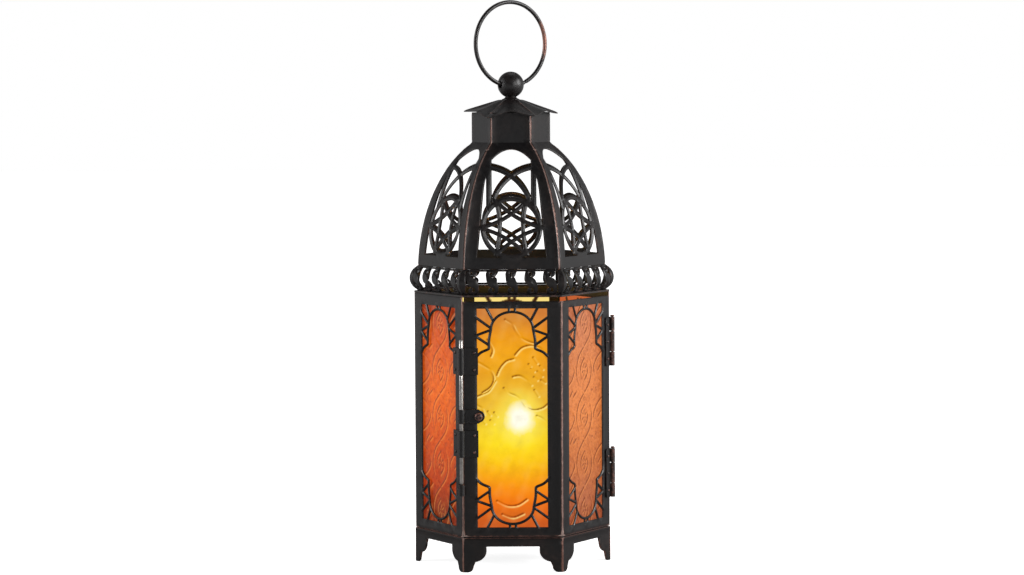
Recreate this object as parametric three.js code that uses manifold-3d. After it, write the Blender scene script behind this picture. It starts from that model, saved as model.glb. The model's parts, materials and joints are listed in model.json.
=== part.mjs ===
// A hexagonal hanging lantern: six glazed walls on a footed base, an openwork bead, a pierced
// dome with a short neck, a roof cap, and a ball that carries a hanging ring. Two of the walls
// are one door, hinged on the +X corner and held shut by a slide bolt on the front left corner.
// Millimetres, +Z up, origin on the ground at the lantern's axis. The front wall faces -Y.

import * as THREE from 'three';
import { mergeVertices } from 'three/addons/utils/BufferGeometryUtils.js';
import Module from 'manifold-3d';

const wasm = await Module();
wasm.setup();

// ---------------------------------------------------------------- driving dimensions

const sheet = 0.8; // walls, bead, dome and roof are cut from this
const seat = 0.3; // gap where one piece is soldered to, riveted to or rests on another
const running = 0.25; // gap round a rod that slides or a pin that turns

const wall = {
  corner: 56.9, // radius to the outside corners
  height: 137.6,
  doorGap: 0.5, // the door hangs this far above the foot of the fixed walls
  doorHeadroom: 2.3, // and stops this far below their head
};

const skirt = {
  overhang: 0.3, // past the walls, at the corners
  wall: 1,
  arch: 14.8, // height of the straight lower edge between two feet
  band: 5, // depth of the plain band above it
  toe: 5.6, // from a corner to the side of its foot
  toeRound: 3.2,
  lobeWidth: 7.6, // of the bracket beside the foot, a quarter of an ellipse
  lobeHeight: 6.4,
  lobeDrop: 2.5, // from the straight edge down to the lobe
};

const pan = {
  rise: 0.8, // of the floor above the straight lower edge
};

const opening = {
  stile: 8.15, // solid width beside the glazed opening
  sill: 5.8, // solid height below it
  head: 6.4, // solid height above it
  bar: 1.5,
  archInset: 8.2, // from the opening's side to the arch bar's centre line
  cuspInset: 7,
  flare: 27.8, // the next four are heights below the head of the opening
  cusp: 22.3,
  spring: 11.8,
  shoulder: 5.8,
  crown: 0.3,
};

const glass = {
  thick: 2.2,
  lap: 2, // past the opening on every side
  tabHeight: 9,
  tabHook: 2.6,
  shelf: 12, // length of the shelf under the pane
};

const frame = {
  width: 5,
};

const bead = {
  bulge: 3.2, // past the walls, at the corners
  height: 14.4,
  units: 5, // scrolls on each side
  unit: 6.2, // width of a scroll
  end: 2.05, // plain edge beyond the last scroll's share
  lean: 0.8, // how far a gap leans to each side
  rim: 0.7, // height of the plain edge above and below the gaps
  eye: 1.2,
  eyeRise: 2.2,
  eyeShift: 1.7,
};

const dome = {
  inset: 2.2, // from the walls in to the dome's elliptical outline, at the corners
  rise: 82.7, // vertical half axis of the ellipse
  sink: 4.4, // from the dome's foot down to the ellipse's centre
  neckCorner: 22.8,
  neckHeight: 18.1,
  facets: 7, // flats that follow the curve
};

const lace = {
  bar: 1.8,
  sill: 6.4, // solid height below the pierced field
  brow: 3, // solid height between its crown and the neck
  headHeight: 6, // of the field's arched head
  hipDrop: 14.6, // from the arch's springing down to the hip of the sides
  ribFoot: 7.1, // solid width beside the field at its foot
  ribHip: 5.6,
  ribSpring: 5,
  ringBar: 2.2,
  ringLap: 0.6, // of the rosette's ring over the ribs
  ringSink: 0.8, // of the ring into the sill
  hub: 11.2, // radius of the plate that carries the star
  spokes: 12,
  star: 8.6,
  starInner: 4.9,
  arcRadius: 29.1, // the pair of arcs that cross below the arched head
  arcDrop: 33.2, // from the springing down to their centres
  postBar: 2.8,
};

const cap = {
  eaves: 4.5, // past the neck, at the corners
  drop: 6.2, // from the flat top down to the middle of an edge
  cornerDrop: 1.4, // extra at the corners
  flat: 6.2, // radius of the flat top
};

const ring = {
  radius: 24.4,
  wire: 1.2,
  slack: 0.6, // how far the wire's middle lies below the ball's centre
  turn: THREE.MathUtils.degToRad(34),
};

const ball = {
  radius: 7.65,
  stem: 3.2,
  stemHeight: 1.4, // of the stem that shows below the ball
  shank: 1.9,
  tail: 1, // of the shank below the nut
  nutAcross: 6.6,
  nutHeight: 2.2,
  washer: 4.4,
  washerThick: 0.6,
};

const hinge = {
  barrel: 1.4,
  pin: 0.7,
  leaf: 0.7,
  width: 5.6,
  length: 28.5,
  middle: 12, // length of the middle knuckle
  rise: 30.8, // from the door's foot up to the lower hinge's middle
  drop: 26.9, // from the door's head down to the upper hinge's middle
};

const bolt = {
  radius: 1.1,
  tail: 0.3, // of the drawn bolt above its keeper
  end: 4.9, // of the rod above the upper strap
  strap: 0.7, // thickness of straps and keeper
  strapReach: 9,
  strapHeight: 15.4,
  strapLift: 9.6, // from the door's middle up to the middle of the two straps
  strapSpread: 23.6, // from there to the middle of each
  keeperRise: 24.2, // above the foot of the walls
  keeperHeight: 6.2,
  keeperReach: 6,
  tabRise: 4, // of the handle above the lower strap
  tabHeight: 8.1,
  tabReach: 9.2,
  tabThick: 0.9,
  tabEnd: 3.5,
  knob: 2.3,
  knobReach: 3.2,
};

const candle = {
  radius: 19,
  height: 48,
  pool: 1.6,
  wick: 0.9,
  wickSink: 6,
  wickShow: 6,
};

const cup = {
  play: 0.7, // round the candle
  height: 8,
  rivetShank: 1.5,
  rivetHead: 3,
  rivetHeadThick: 1,
};

// ---------------------------------------------------------------- what follows from them

const sides = 6;
const halfSide = Math.PI / sides;
const flat = Math.cos(halfSide); // apothem of a hexagon over its corner radius

const skirtCorner = wall.corner + skirt.overhang;
const beadCorner = wall.corner + bead.bulge;
const domeCorner = wall.corner - dome.inset;
const capCorner = dome.neckCorner + cap.eaves;
const wallFace = wall.corner * flat;
const wallBack = wallFace - sheet;
const beadFace = beadCorner * flat;
const domeFace = domeCorner * flat;
const neckFace = dome.neckCorner * flat;

const skirtTop = skirt.arch + skirt.band;
const wallBottom = skirtTop + seat;
const wallTop = wallBottom + wall.height;
const doorBottom = wallBottom + wall.doorGap;
const doorTop = wallTop - wall.doorHeadroom;
const frameBottom = wallTop + seat;
const beadBottom = frameBottom + sheet + seat;
const beadTop = beadBottom + bead.height;
const domeFoot = beadTop + seat;
const domeCentre = domeFoot - dome.sink;
const neckBottom = domeCentre + dome.rise * Math.sqrt(1 - (dome.neckCorner / domeCorner) ** 2);
const neckTop = neckBottom + dome.neckHeight;
const neckShare = (dome.neckCorner - cap.flat) / (capCorner - cap.flat);
const capTop = neckTop + seat + sheet + (cap.drop + cap.cornerDrop) * neckShare;
const ballHeight = capTop + seat + ball.stemHeight + Math.sqrt(ball.radius ** 2 - ball.stem ** 2);

const openingHalf = wall.corner / 2 - opening.stile;
const openingBottom = wallBottom + opening.sill;
const openingTop = wallTop - opening.head;
const glassBottom = openingBottom - glass.lap;
const shelfTop = glassBottom - seat;
const panBottom = skirt.arch + pan.rise;
const panTop = panBottom + sheet;
const panRim = shelfTop - sheet - seat;
const cupRadius = candle.radius + cup.play + sheet;
const cupBottom = panTop + seat;
const candleBottom = cupBottom + sheet + cup.rivetHeadThick + 2 * seat;

// ---------------------------------------------------------------- shapes and solids

function outline(points) {
  return new THREE.Shape(points.map(([x, y]) => new THREE.Vector2(x, y)));
}

function box(x0, x1, y0, y1) {
  return outline([[x0, y0], [x1, y0], [x1, y1], [x0, y1]]);
}

// Points on an elliptical arc, from one angle to the other in degrees.
function arc(x, y, rx, ry, from, to, steps) {
  return Array.from({ length: steps + 1 }, (_, i) => {
    const angle = THREE.MathUtils.degToRad(from + ((to - from) * i) / steps);
    return [x + rx * Math.cos(angle), y + ry * Math.sin(angle)];
  });
}

function circle(x, y, radius, steps, from = 0) {
  return outline(arc(x, y, radius, radius, from, from + 360, steps).slice(0, -1));
}

// A bar of even width along a centre line.
function strip(line, width) {
  const at = line.map(([x, y]) => new THREE.Vector2(x, y));
  const normals = at.slice(1).map((p, i) => {
    const along = p.clone().sub(at[i]).normalize();
    return new THREE.Vector2(-along.y, along.x);
  });
  const offsets = at.map((_, i) => {
    const before = normals[Math.max(i - 1, 0)];
    const after = normals[Math.min(i, normals.length - 1)];
    const middle = before.clone().add(after).normalize();
    return middle.multiplyScalar(width / 2 / middle.dot(before));
  });
  const left = at.map((p, i) => p.clone().add(offsets[i]));
  const right = at.map((p, i) => p.clone().sub(offsets[i]));
  return new THREE.Shape([...left, ...right.reverse()]);
}

function solid(geometry) {
  geometry.deleteAttribute('normal');
  geometry.deleteAttribute('uv');
  const merged = mergeVertices(geometry, 1e-4);
  return new wasm.Manifold(new wasm.Mesh({
    numProp: 3,
    vertProperties: Float32Array.from(merged.attributes.position.array),
    triVerts: Uint32Array.from(merged.index.array),
  }));
}

function extrude(shape, depth) {
  return new THREE.ExtrudeGeometry(shape, { depth, bevelEnabled: false });
}

// A plan outline (x, y) raised from one height to another.
function raise(shape, z0, z1) {
  return solid(extrude(shape, z1 - z0).translate(0, 0, z0));
}

// A front view outline (x, z) run from y0 back to y1.
function throughY(shape, y0, y1) {
  return solid(extrude(shape, y1 - y0).rotateX(Math.PI / 2).translate(0, y1, 0));
}

// A side view outline (y, z) run from x0 to x1.
const sideView = new THREE.Matrix4().makeBasis(
  new THREE.Vector3(0, 1, 0),
  new THREE.Vector3(0, 0, 1),
  new THREE.Vector3(1, 0, 0),
);

function throughX(shape, x0, x1) {
  return solid(extrude(shape, x1 - x0).applyMatrix4(sideView).translate(x0, 0, 0));
}

// A profile (radius, height) turned about the Z axis.
function turn(profile, steps) {
  const points = profile.map(([r, z]) => new THREE.Vector2(r, z));
  return solid(new THREE.LatheGeometry(points, steps).rotateX(Math.PI / 2));
}

function join(list) {
  return list.reduce((whole, piece) => whole.add(piece));
}

// ---------------------------------------------------------------- one sixth of a hexagon

const reach = 70;

// The front sixth, half a seam short of its two mitre planes.
function wedge(z0, z1) {
  const setback = seat / 2 / Math.sin(halfSide);
  const spread = reach * Math.tan(halfSide);
  return raise(outline([[0, -setback], [-spread, -setback - reach], [spread, -setback - reach]]), z0, z1);
}

// A side view outline run across the front and mitred to meet its neighbours.
function facet(profile, z0, z1) {
  return throughX(profile, -reach, reach).intersect(wedge(z0 - 1, z1 + 1));
}

function hexagon(corner) {
  return circle(0, 0, corner, sides);
}

function hexTube(outerFace, innerFace, z0, z1) {
  const outer = raise(hexagon(outerFace / flat), z0, z1);
  return outer.subtract(raise(hexagon(innerFace / flat), z0 - 1, z1 + 1));
}

// ---------------------------------------------------------------- base

// The cut between two feet, in front view: a straight edge that ends in lobed brackets.
function footCut() {
  const side = skirtCorner / 2 - skirt.toe;
  const lobeTop = skirt.arch - skirt.lobeDrop;
  const right = [
    [side + skirt.toeRound, -1],
    ...arc(side + skirt.toeRound, skirt.toeRound, skirt.toeRound, skirt.toeRound, 270, 180, 3),
    ...arc(side, lobeTop, skirt.lobeWidth, skirt.lobeHeight, 270, 180, 4),
    [side - skirt.lobeWidth, skirt.arch],
  ];
  const left = right.map(([x, z]) => [-x, z]).reverse();
  return outline([...right, ...left]);
}

function makeSkirt() {
  const face = skirtCorner * flat;
  let body = hexTube(face, face - skirt.wall, 0, skirtTop);
  for (let i = 0; i < sides / 2; i += 1) {
    body = body.subtract(throughY(footCut(), -reach, reach).rotate([0, 0, (i * 360) / sides]));
  }
  return body;
}

function makePan() {
  const face = wallBack - seat;
  const inner = raise(hexagon((face - sheet) / flat), panTop, panRim + 1);
  const hole = raise(circle(0, 0, cup.rivetShank + seat, 10), panBottom - 1, panTop + 1);
  return raise(hexagon(face / flat), panBottom, panRim).subtract(inner).subtract(hole);
}

// ---------------------------------------------------------------- glazed walls

const openingMiddle = (openingBottom + openingTop) / 2;

// Mirrors points drawn in the upper left quarter, heights taken down from the head.
function quarter(points, sideways, upright) {
  const head = openingTop - openingMiddle;
  return points.map(([x, down]) => [x * sideways, openingMiddle + (head - down) * upright]);
}

const archHalf = openingHalf - opening.archInset;
const cuspHalf = openingHalf - opening.cuspInset;

// Half of the cusped arch, from the stile up to the crown.
function archLine() {
  const curve = new THREE.QuadraticBezierCurve(
    new THREE.Vector2(-archHalf, opening.spring),
    new THREE.Vector2(-archHalf, opening.shoulder),
    new THREE.Vector2(0, opening.crown),
  );
  return [
    [-openingHalf - opening.bar, opening.flare + 1],
    [-cuspHalf, opening.cusp],
    ...curve.getPoints(3).map((p) => [p.x, p.y]),
  ];
}

// The short bars that tie the arch to the frame in each corner.
function cornerBars() {
  const edge = -openingHalf - opening.bar / 2;
  return [
    [[-archHalf + 1.4, opening.shoulder + 1.4], [-archHalf - 2.9, -1]],
    [[-archHalf, opening.spring - 0.6], [edge, opening.shoulder - 1]],
    [[-archHalf, opening.spring + 0.4], [edge, opening.spring + 3.6]],
    [[-cuspHalf, opening.cusp - 1.4], [edge, opening.spring + 3.8]],
  ];
}

function openingBars() {
  const bars = [];
  for (const upright of [1, -1]) {
    const left = quarter(archLine(), 1, upright);
    const right = quarter(archLine(), -1, upright).reverse().slice(1);
    bars.push([...left, ...right]);
    for (const sideways of [1, -1]) {
      bars.push(...cornerBars().map((bar) => quarter(bar, sideways, upright)));
    }
  }
  return bars.map((line) => strip(line, opening.bar));
}

// A bent tab grips the pane at each side, and it stands on a shelf.
function glassTabs() {
  const edge = openingHalf + glass.lap + seat;
  const back = wallBack - glass.thick - 2 * seat;
  const z0 = openingMiddle - glass.tabHeight / 2;
  const z1 = openingMiddle + glass.tabHeight / 2;
  const tabs = [1, -1].map((side) => raise(outline([
    [side * edge, -wallBack - sheet / 2],
    [side * (edge + sheet), -wallBack - sheet / 2],
    [side * (edge + sheet), -back + sheet],
    [side * (edge - glass.tabHook), -back + sheet],
    [side * (edge - glass.tabHook), -back],
    [side * edge, -back],
  ]), z0, z1));
  const shelf = outline([
    [-wallBack - sheet / 2, shelfTop],
    [-wallBack - sheet / 2, shelfTop - sheet],
    [-back + sheet, shelfTop - sheet],
    [-back + sheet, shelfTop + glass.lap],
    [-back, shelfTop + glass.lap],
    [-back, shelfTop],
  ]);
  tabs.push(throughX(shelf, -glass.shelf / 2, glass.shelf / 2));
  return join(tabs);
}

function makeWall(z0, z1) {
  const plate = facet(box(-wallFace, -wallBack, z0, z1), z0, z1);
  const front = -wallFace - 1;
  const back = -wallBack + 1;
  const hole = throughY(box(-openingHalf, openingHalf, openingBottom, openingTop), front, back);
  const bars = join(openingBars().map((bar) => throughY(bar, front - 1, back + 1)));
  return plate.subtract(hole.subtract(bars)).add(glassTabs());
}

function makePane() {
  const half = openingHalf + glass.lap;
  const front = wallBack - seat;
  return throughY(box(-half, half, glassBottom, openingTop + glass.lap), -front, -front + glass.thick);
}

function makeFrame() {
  return hexTube(wallFace, wallFace - frame.width, frameBottom, frameBottom + sheet);
}

// ---------------------------------------------------------------- openwork bead

// The bead's section is an arc that starts and ends above the wall's inner edge.
function beadProfile() {
  const rim = domeFace;
  const sagitta = beadFace - rim;
  const radius = (bead.height ** 2 / 4 + sagitta ** 2) / (2 * sagitta);
  const half = THREE.MathUtils.radToDeg(Math.asin(bead.height / 2 / radius));
  const middle = (beadBottom + beadTop) / 2;
  const x = -(beadFace - radius);
  const outer = arc(x, middle, radius, radius, 180 - half, 180 + half, 4);
  const inner = arc(x, middle, radius - sheet, radius - sheet, 180 + half, 180 - half, 4);
  return outline([...outer, ...inner]);
}

function makeBead() {
  const middle = (beadBottom + beadTop) / 2;
  const half = bead.height / 2 - bead.rim;
  const pitch = (beadCorner - 2 * bead.end) / bead.units;
  const cuts = [];
  for (let i = 0; i < bead.units; i += 1) {
    const x = (i - (bead.units - 1) / 2) * pitch;
    for (const way of [1, -1]) {
      cuts.push(circle(x - way * bead.eyeShift, middle + way * bead.eyeRise, bead.eye, 5, 90 * way));
    }
    if (i > 0) {
      const gap = x - pitch / 2;
      const w = (pitch - bead.unit) / 2;
      cuts.push(outline([
        [gap - w + bead.lean, middle - half],
        [gap + w + bead.lean, middle - half],
        [gap + w - bead.lean, middle + half],
        [gap - w - bead.lean, middle + half],
      ]));
    }
  }
  const strips = join(cuts.map((shape) => throughY(shape, -beadFace - 1, -domeFace + bead.height)));
  return facet(beadProfile(), beadBottom, beadTop).subtract(strips);
}

// ---------------------------------------------------------------- pierced dome

// Side view of a gore: an elliptical sweep that turns up into the neck.
function goreProfile() {
  const skin = (inset) => {
    const rx = domeFace - inset;
    const rz = dome.rise - inset;
    const foot = THREE.MathUtils.radToDeg(Math.asin(dome.sink / rz));
    const neck = THREE.MathUtils.radToDeg(Math.acos((neckFace - inset) / rx));
    const sweep = arc(0, domeCentre, rx, rz, foot, neck, dome.facets).map(([x, z]) => [-x, z]);
    return [...sweep, [-(neckFace - inset), neckTop]];
  };
  return outline([...skin(0), ...skin(sheet).reverse()]);
}

// Half width of a gore at a height.
function goreHalf(z) {
  return (domeCorner / 2) * Math.sqrt(1 - ((z - domeCentre) / dome.rise) ** 2);
}

const field = {
  bottom: domeFoot + lace.sill,
  top: neckBottom - lace.brow,
};
field.spring = field.top - lace.headHeight;
field.hip = field.spring - lace.hipDrop;
field.bottomHalf = goreHalf(field.bottom) - lace.ribFoot;
field.hipHalf = goreHalf(field.hip) - lace.ribHip;
field.springHalf = goreHalf(field.spring) - lace.ribSpring;

// The framed field of the lace: straight sides that lean in to a low arched head.
function laceField() {
  const head = new THREE.QuadraticBezierCurve(
    new THREE.Vector2(-field.springHalf, field.spring),
    new THREE.Vector2(-field.springHalf / 2, field.top),
    new THREE.Vector2(0, field.top),
  );
  const left = [
    [-field.bottomHalf, field.bottom],
    [-field.hipHalf, field.hip],
    ...head.getPoints(3).map((p) => [p.x, p.y]),
  ];
  const right = left.slice(0, -1).map(([x, z]) => [-x, z]).reverse();
  return outline([...left, ...right]);
}

// The rosette's ring just laps over the sill and over both ribs.
function rosette() {
  const lean = (field.bottomHalf - field.hipHalf) / (field.hip - field.bottom);
  const inner = lace.ringBar - lace.ringLap;
  const radius = (field.bottomHalf - inner + lean * (lace.ringSink - lace.ringBar / 2)) / (1 + lean);
  return { radius, z: field.bottom + radius + lace.ringBar / 2 - lace.ringSink };
}

// A spoked wheel round a plate with a six-pointed star cut in it.
function rosetteBars({ radius, z }) {
  const rim = circle(0, z, radius + lace.ringBar / 2, 18);
  rim.holes.push(circle(0, z, radius - lace.ringBar / 2, lace.spokes));
  const hub = circle(0, z, lace.hub, lace.spokes);
  const star = Array.from({ length: 2 * sides }, (_, i) => {
    const point = i % 2 ? lace.starInner : lace.star;
    const angle = Math.PI / 2 + i * halfSide;
    return [point * Math.cos(angle), z + point * Math.sin(angle)];
  });
  hub.holes.push(outline(star));
  const spokes = Array.from({ length: lace.spokes }, (_, i) => {
    const angle = (i * 2 * Math.PI) / lace.spokes;
    const ends = [lace.hub - lace.bar, radius];
    return strip(ends.map((r) => [Math.cos(angle) * r, z + Math.sin(angle) * r]), lace.bar);
  });
  return [rim, hub, ...spokes];
}

// The rosette, the two posts that stand on it, and the two arcs that cross over it.
function laceBars() {
  const wheel = rosette();
  const bars = rosetteBars(wheel);
  const post = field.springHalf + seat + lace.postBar / 2;
  const foot = wheel.z + Math.sqrt(wheel.radius ** 2 - post ** 2);
  const arcX = post - lace.postBar / 2 + lace.bar / 4 - lace.arcRadius;
  const arcZ = field.spring - lace.arcDrop;
  for (const side of [1, -1]) {
    const sweep = arc(arcX, arcZ, lace.arcRadius, lace.arcRadius, 86, 18, 4);
    bars.push(strip(sweep.map(([x, y]) => [x * side, y]), lace.bar));
    bars.push(strip([[side * post, foot], [side * post, field.top]], lace.postBar));
  }
  return bars;
}

function makeGore() {
  const front = -domeFace - 1;
  const field = throughY(laceField(), front, 0);
  const bars = join(laceBars().map((bar) => throughY(bar, front - 1, 1)));
  return facet(goreProfile(), domeFoot, neckTop).subtract(field.subtract(bars));
}

// ---------------------------------------------------------------- roof, ball and ring

// The roof is turned, then drawn out to six corners that dip below the edges between them.
function makeCap() {
  const hole = ball.shank + seat;
  const radii = [hole, cap.flat, capCorner];
  const lower = radii.map((r) => [r, -sheet]);
  const upper = radii.map((r) => [r, 0]).reverse();
  const points = [...lower, ...upper, lower[0]].map(([r, z]) => new THREE.Vector2(r, z));
  const geometry = new THREE.LatheGeometry(points, 4 * sides).rotateX(Math.PI / 2);
  const at = geometry.attributes.position;
  for (let i = 0; i < at.count; i += 1) {
    const x = at.getX(i);
    const y = at.getY(i);
    const radius = Math.hypot(x, y);
    const angle = Math.atan2(y, x);
    const share = Math.max(0, (radius - cap.flat) / (capCorner - cap.flat));
    const turned = ((angle + 2 * Math.PI) % (2 * halfSide)) - halfSide;
    const squeeze = 1 + (flat / Math.cos(turned) - 1) * Math.min(1, 2 * share);
    const corner = ((1 + Math.cos(sides * angle)) / 2) * cap.cornerDrop * share;
    at.setXYZ(i, x * squeeze, y * squeeze, at.getZ(i) + capTop - cap.drop * share - corner);
  }
  return solid(geometry);
}

const washerTop = capTop - sheet - seat;
const nutTop = washerTop - ball.washerThick - seat;
const shankBottom = nutTop - ball.nutHeight - ball.tail;

function makeBall() {
  const seatHeight = capTop + seat;
  const foot = -90 + THREE.MathUtils.radToDeg(Math.asin(ball.stem / ball.radius));
  const body = turn([
    [0, shankBottom],
    [ball.shank, shankBottom],
    [ball.shank, seatHeight],
    [ball.stem, seatHeight],
    ...arc(0, ballHeight, ball.radius, ball.radius, foot, 90, 7).slice(0, -1),
    [0, ballHeight + ball.radius],
  ], 14);
  const bore = throughX(circle(0, ballHeight, ring.wire + ring.slack + running, 10), -2 * ball.radius, 2 * ball.radius);
  return body.subtract(bore.rotate([0, 0, THREE.MathUtils.radToDeg(ring.turn)]));
}

function makeRing() {
  const torus = new THREE.TorusGeometry(ring.radius, ring.wire, 6, 30).rotateX(Math.PI / 2);
  return solid(torus.rotateZ(ring.turn).translate(0, 0, ballHeight + ring.radius - ring.slack));
}

function drilled(shape, hole, z0, z1) {
  shape.holes.push(circle(0, 0, hole, 8));
  return raise(shape, z0, z1);
}

function makeWasher() {
  return drilled(circle(0, 0, ball.washer, 10), ball.shank + seat, washerTop - ball.washerThick, washerTop);
}

function makeNut() {
  return drilled(hexagon(ball.nutAcross / 2 / flat), ball.shank + seat, nutTop - ball.nutHeight, nutTop);
}

// ---------------------------------------------------------------- hinges

const hingeAxis = wall.corner + seat + hinge.barrel;

// One leaf lies on the wall beside the +X corner; side is -1 on the door and 1 on the frame.
function makeLeaf(height, side) {
  const along = new THREE.Vector2(-Math.sin(halfSide), side * Math.cos(halfSide));
  const out = new THREE.Vector2(Math.cos(halfSide), side * Math.sin(halfSide));
  const onFace = (s, o) => [wall.corner + along.x * s + out.x * o, along.y * s + out.y * o];
  const patch = (s0, s1, o0, o1) => outline([onFace(s0, o0), onFace(s1, o0), onFace(s1, o1), onFace(s0, o1)]);
  const z0 = height - hinge.length / 2;
  const z1 = height + hinge.length / 2;
  const m0 = height - hinge.middle / 2;
  const m1 = height + hinge.middle / 2;
  const gap = seat / 2;
  const cleared = side < 0 ? [[z0 - 1, m0 + gap], [m1 - gap, z1 + 1]] : [[m0 - gap, m1 + gap]];
  let leaf = raise(patch(0, hinge.width, seat, seat + hinge.leaf), z0, z1);
  leaf = leaf.add(raise(circle(hingeAxis, 0, hinge.barrel, 8), z0, z1));
  leaf = leaf.subtract(raise(circle(hingeAxis, 0, hinge.pin + running, 6), z0 - 1, z1 + 1));
  for (const [a, b] of cleared) {
    leaf = leaf.subtract(raise(patch(-2 * hinge.barrel, hinge.barrel, -1, 3 * hinge.barrel), a, b));
  }
  return leaf;
}

function makePin(height) {
  const z0 = height - hinge.length / 2;
  const z1 = height + hinge.length / 2 + seat;
  const pin = turn([
    [0, z0],
    [hinge.pin, z0],
    [hinge.pin, z1],
    [hinge.barrel, z1],
    [hinge.barrel * 0.6, z1 + 1],
    [0, z1 + 1],
  ], 6);
  return pin.translate([hingeAxis, 0, 0]);
}

// ---------------------------------------------------------------- slide bolt

const boltAngle = 240; // the front left corner
const boltAxis = wall.corner + seat + bolt.radius;
const boltX = boltAxis * Math.cos(THREE.MathUtils.degToRad(boltAngle));
const boltY = boltAxis * Math.sin(THREE.MathUtils.degToRad(boltAngle));
const boltCorner = [-wall.corner / 2, -wallFace];
const strapMiddle = (doorBottom + doorTop) / 2 + bolt.strapLift;
const keeperTop = wallBottom + bolt.keeperRise + bolt.keeperHeight;

// A leg that lies on the front wall (side 1) or on the left wall (side -1).
function strapLeg(side, length, thick, z0, z1) {
  const along = side > 0 ? [1, 0] : [-Math.sin(halfSide), Math.cos(halfSide)];
  const out = side > 0 ? [0, -1] : [-Math.cos(halfSide), -Math.sin(halfSide)];
  const at = (s, o) => [
    boltCorner[0] + along[0] * s + out[0] * o,
    boltCorner[1] + along[1] * s + out[1] * o,
  ];
  const start = bolt.radius / 2 + running;
  const corners = [at(start, seat), at(length, seat), at(length, seat + thick), at(start, seat + thick)];
  return raise(outline(corners), z0, z1);
}

// Sheet rolled round the rod, open towards the corner of the body.
function wrap(from, to, gap, thick, z0, z1) {
  const inner = bolt.radius + gap;
  const outer = inner + thick;
  return raise(outline([
    ...arc(boltX, boltY, outer, outer, from, to, 7),
    ...arc(boltX, boltY, inner, inner, to, from, 7),
  ]), z0, z1);
}

function makeStrap(height) {
  const z0 = height - bolt.strapHeight / 2;
  const z1 = height + bolt.strapHeight / 2;
  return join([
    wrap(boltAngle - 134, boltAngle + 134, running, bolt.strap, z0, z1),
    strapLeg(1, bolt.strapReach, bolt.strap, z0, z1),
    strapLeg(-1, bolt.strapReach, bolt.strap, z0, z1),
  ]);
}

function makeKeeper() {
  const z0 = keeperTop - bolt.keeperHeight;
  const z1 = keeperTop;
  return join([
    wrap(boltAngle - 134, boltAngle + 90, running, bolt.strap, z0, z1),
    strapLeg(-1, bolt.keeperReach, bolt.strap, z0, z1),
  ]);
}

function makeRod() {
  const tip = bolt.radius / 2;
  const bottom = keeperTop + bolt.tail;
  const top = strapMiddle + bolt.strapSpread + bolt.strapHeight / 2 + bolt.end;
  return turn([
    [0, bottom],
    [tip, bottom],
    [bolt.radius, bottom + tip],
    [bolt.radius, top - tip],
    [tip, top],
    [0, top],
  ], 10).translate([boltX, boltY, 0]);
}

// A flat tab clamped on the rod, with a rounded end that carries the knob.
function makeHandle() {
  const z0 = strapMiddle - bolt.strapSpread + bolt.strapHeight / 2 + bolt.tabRise;
  const z1 = z0 + bolt.tabHeight;
  const start = boltCorner[0] + bolt.radius / 2 + running;
  const end = boltCorner[0] + bolt.tabReach;
  const height = (z0 + z1) / 2;
  const front = -wallFace - seat - bolt.tabThick;
  const tab = outline([
    [start, z0],
    [end, z0],
    ...arc(end, height, bolt.tabEnd, bolt.tabEnd, -75, 75, 4),
    [end, z1],
    [start, z1],
  ]);
  const knob = turn([
    [0, -0.2],
    [bolt.knob * 0.6, -0.2],
    [bolt.knob * 0.6, bolt.knobReach * 0.3],
    [bolt.knob, bolt.knobReach * 0.6],
    [bolt.knob * 0.7, bolt.knobReach * 0.92],
    [0, bolt.knobReach],
  ], 8);
  return join([
    throughY(tab, front, -wallFace - seat),
    knob.rotate([90, 0, 0]).translate([end, front, height]),
    wrap(boltAngle - 134, boltAngle + 134, seat, bolt.tabThick, z0, z1),
  ]);
}

// ---------------------------------------------------------------- candle and its cup

function makeCup() {
  const hole = cup.rivetShank + seat;
  const top = cupBottom + cup.height;
  return turn([
    [hole, cupBottom],
    [cupRadius, cupBottom],
    [cupRadius, top],
    [cupRadius - sheet, top],
    [cupRadius - sheet, cupBottom + sheet],
    [hole, cupBottom + sheet],
    [hole, cupBottom],
  ], 18);
}

function makeRivet() {
  const under = panBottom - seat;
  const over = cupBottom + sheet + seat;
  return turn([
    [0, under - cup.rivetHeadThick],
    [cup.rivetHead, under - cup.rivetHeadThick],
    [cup.rivetHead, under],
    [cup.rivetShank, under],
    [cup.rivetShank, over],
    [cup.rivetHead, over],
    [cup.rivetHead * 0.7, over + cup.rivetHeadThick],
    [0, over + cup.rivetHeadThick],
  ], 8);
}

function makeCandle() {
  const top = candleBottom + candle.height;
  const floor = top - candle.pool;
  return turn([
    [0, candleBottom],
    [candle.radius, candleBottom],
    [candle.radius, top - 1],
    [candle.radius - 1.5, top],
    [candle.radius - 4, floor],
    [candle.wick + seat, floor],
    [candle.wick + seat, floor - candle.wickSink],
    [0, floor - candle.wickSink],
  ], 18);
}

function makeWick() {
  const floor = candleBottom + candle.height - candle.pool;
  const bottom = floor - candle.wickSink + seat;
  const top = floor + candle.wickShow;
  return turn([[0, bottom], [candle.wick, bottom], [candle.wick * 0.8, top], [0, top]], 8);
}

// ---------------------------------------------------------------- materials

function finish(colour, roughness, metalness) {
  return { color: colour, roughness, metalness };
}

const finishes = {
  blackened: finish(0x2e2a28, 0.55, 0.7),
  blackenedDark: finish(0x232022, 0.5, 0.7),
  worn: finish(0x4a3a33, 0.45, 0.8),
  plated: finish(0x8a8682, 0.35, 0.9),
  copperEdge: finish(0x5c3226, 0.45, 0.8),
  amberGlass: finish(0xe08a2c, 0.2, 0),
  redGlass: finish(0xd06035, 0.2, 0),
  wax: finish(0xf0e4cc, 0.6, 0),
  charred: finish(0x2a2622, 0.9, 0),
};

// ---------------------------------------------------------------- assembly

const lantern = new THREE.Group();
lantern.name = 'lantern';

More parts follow.
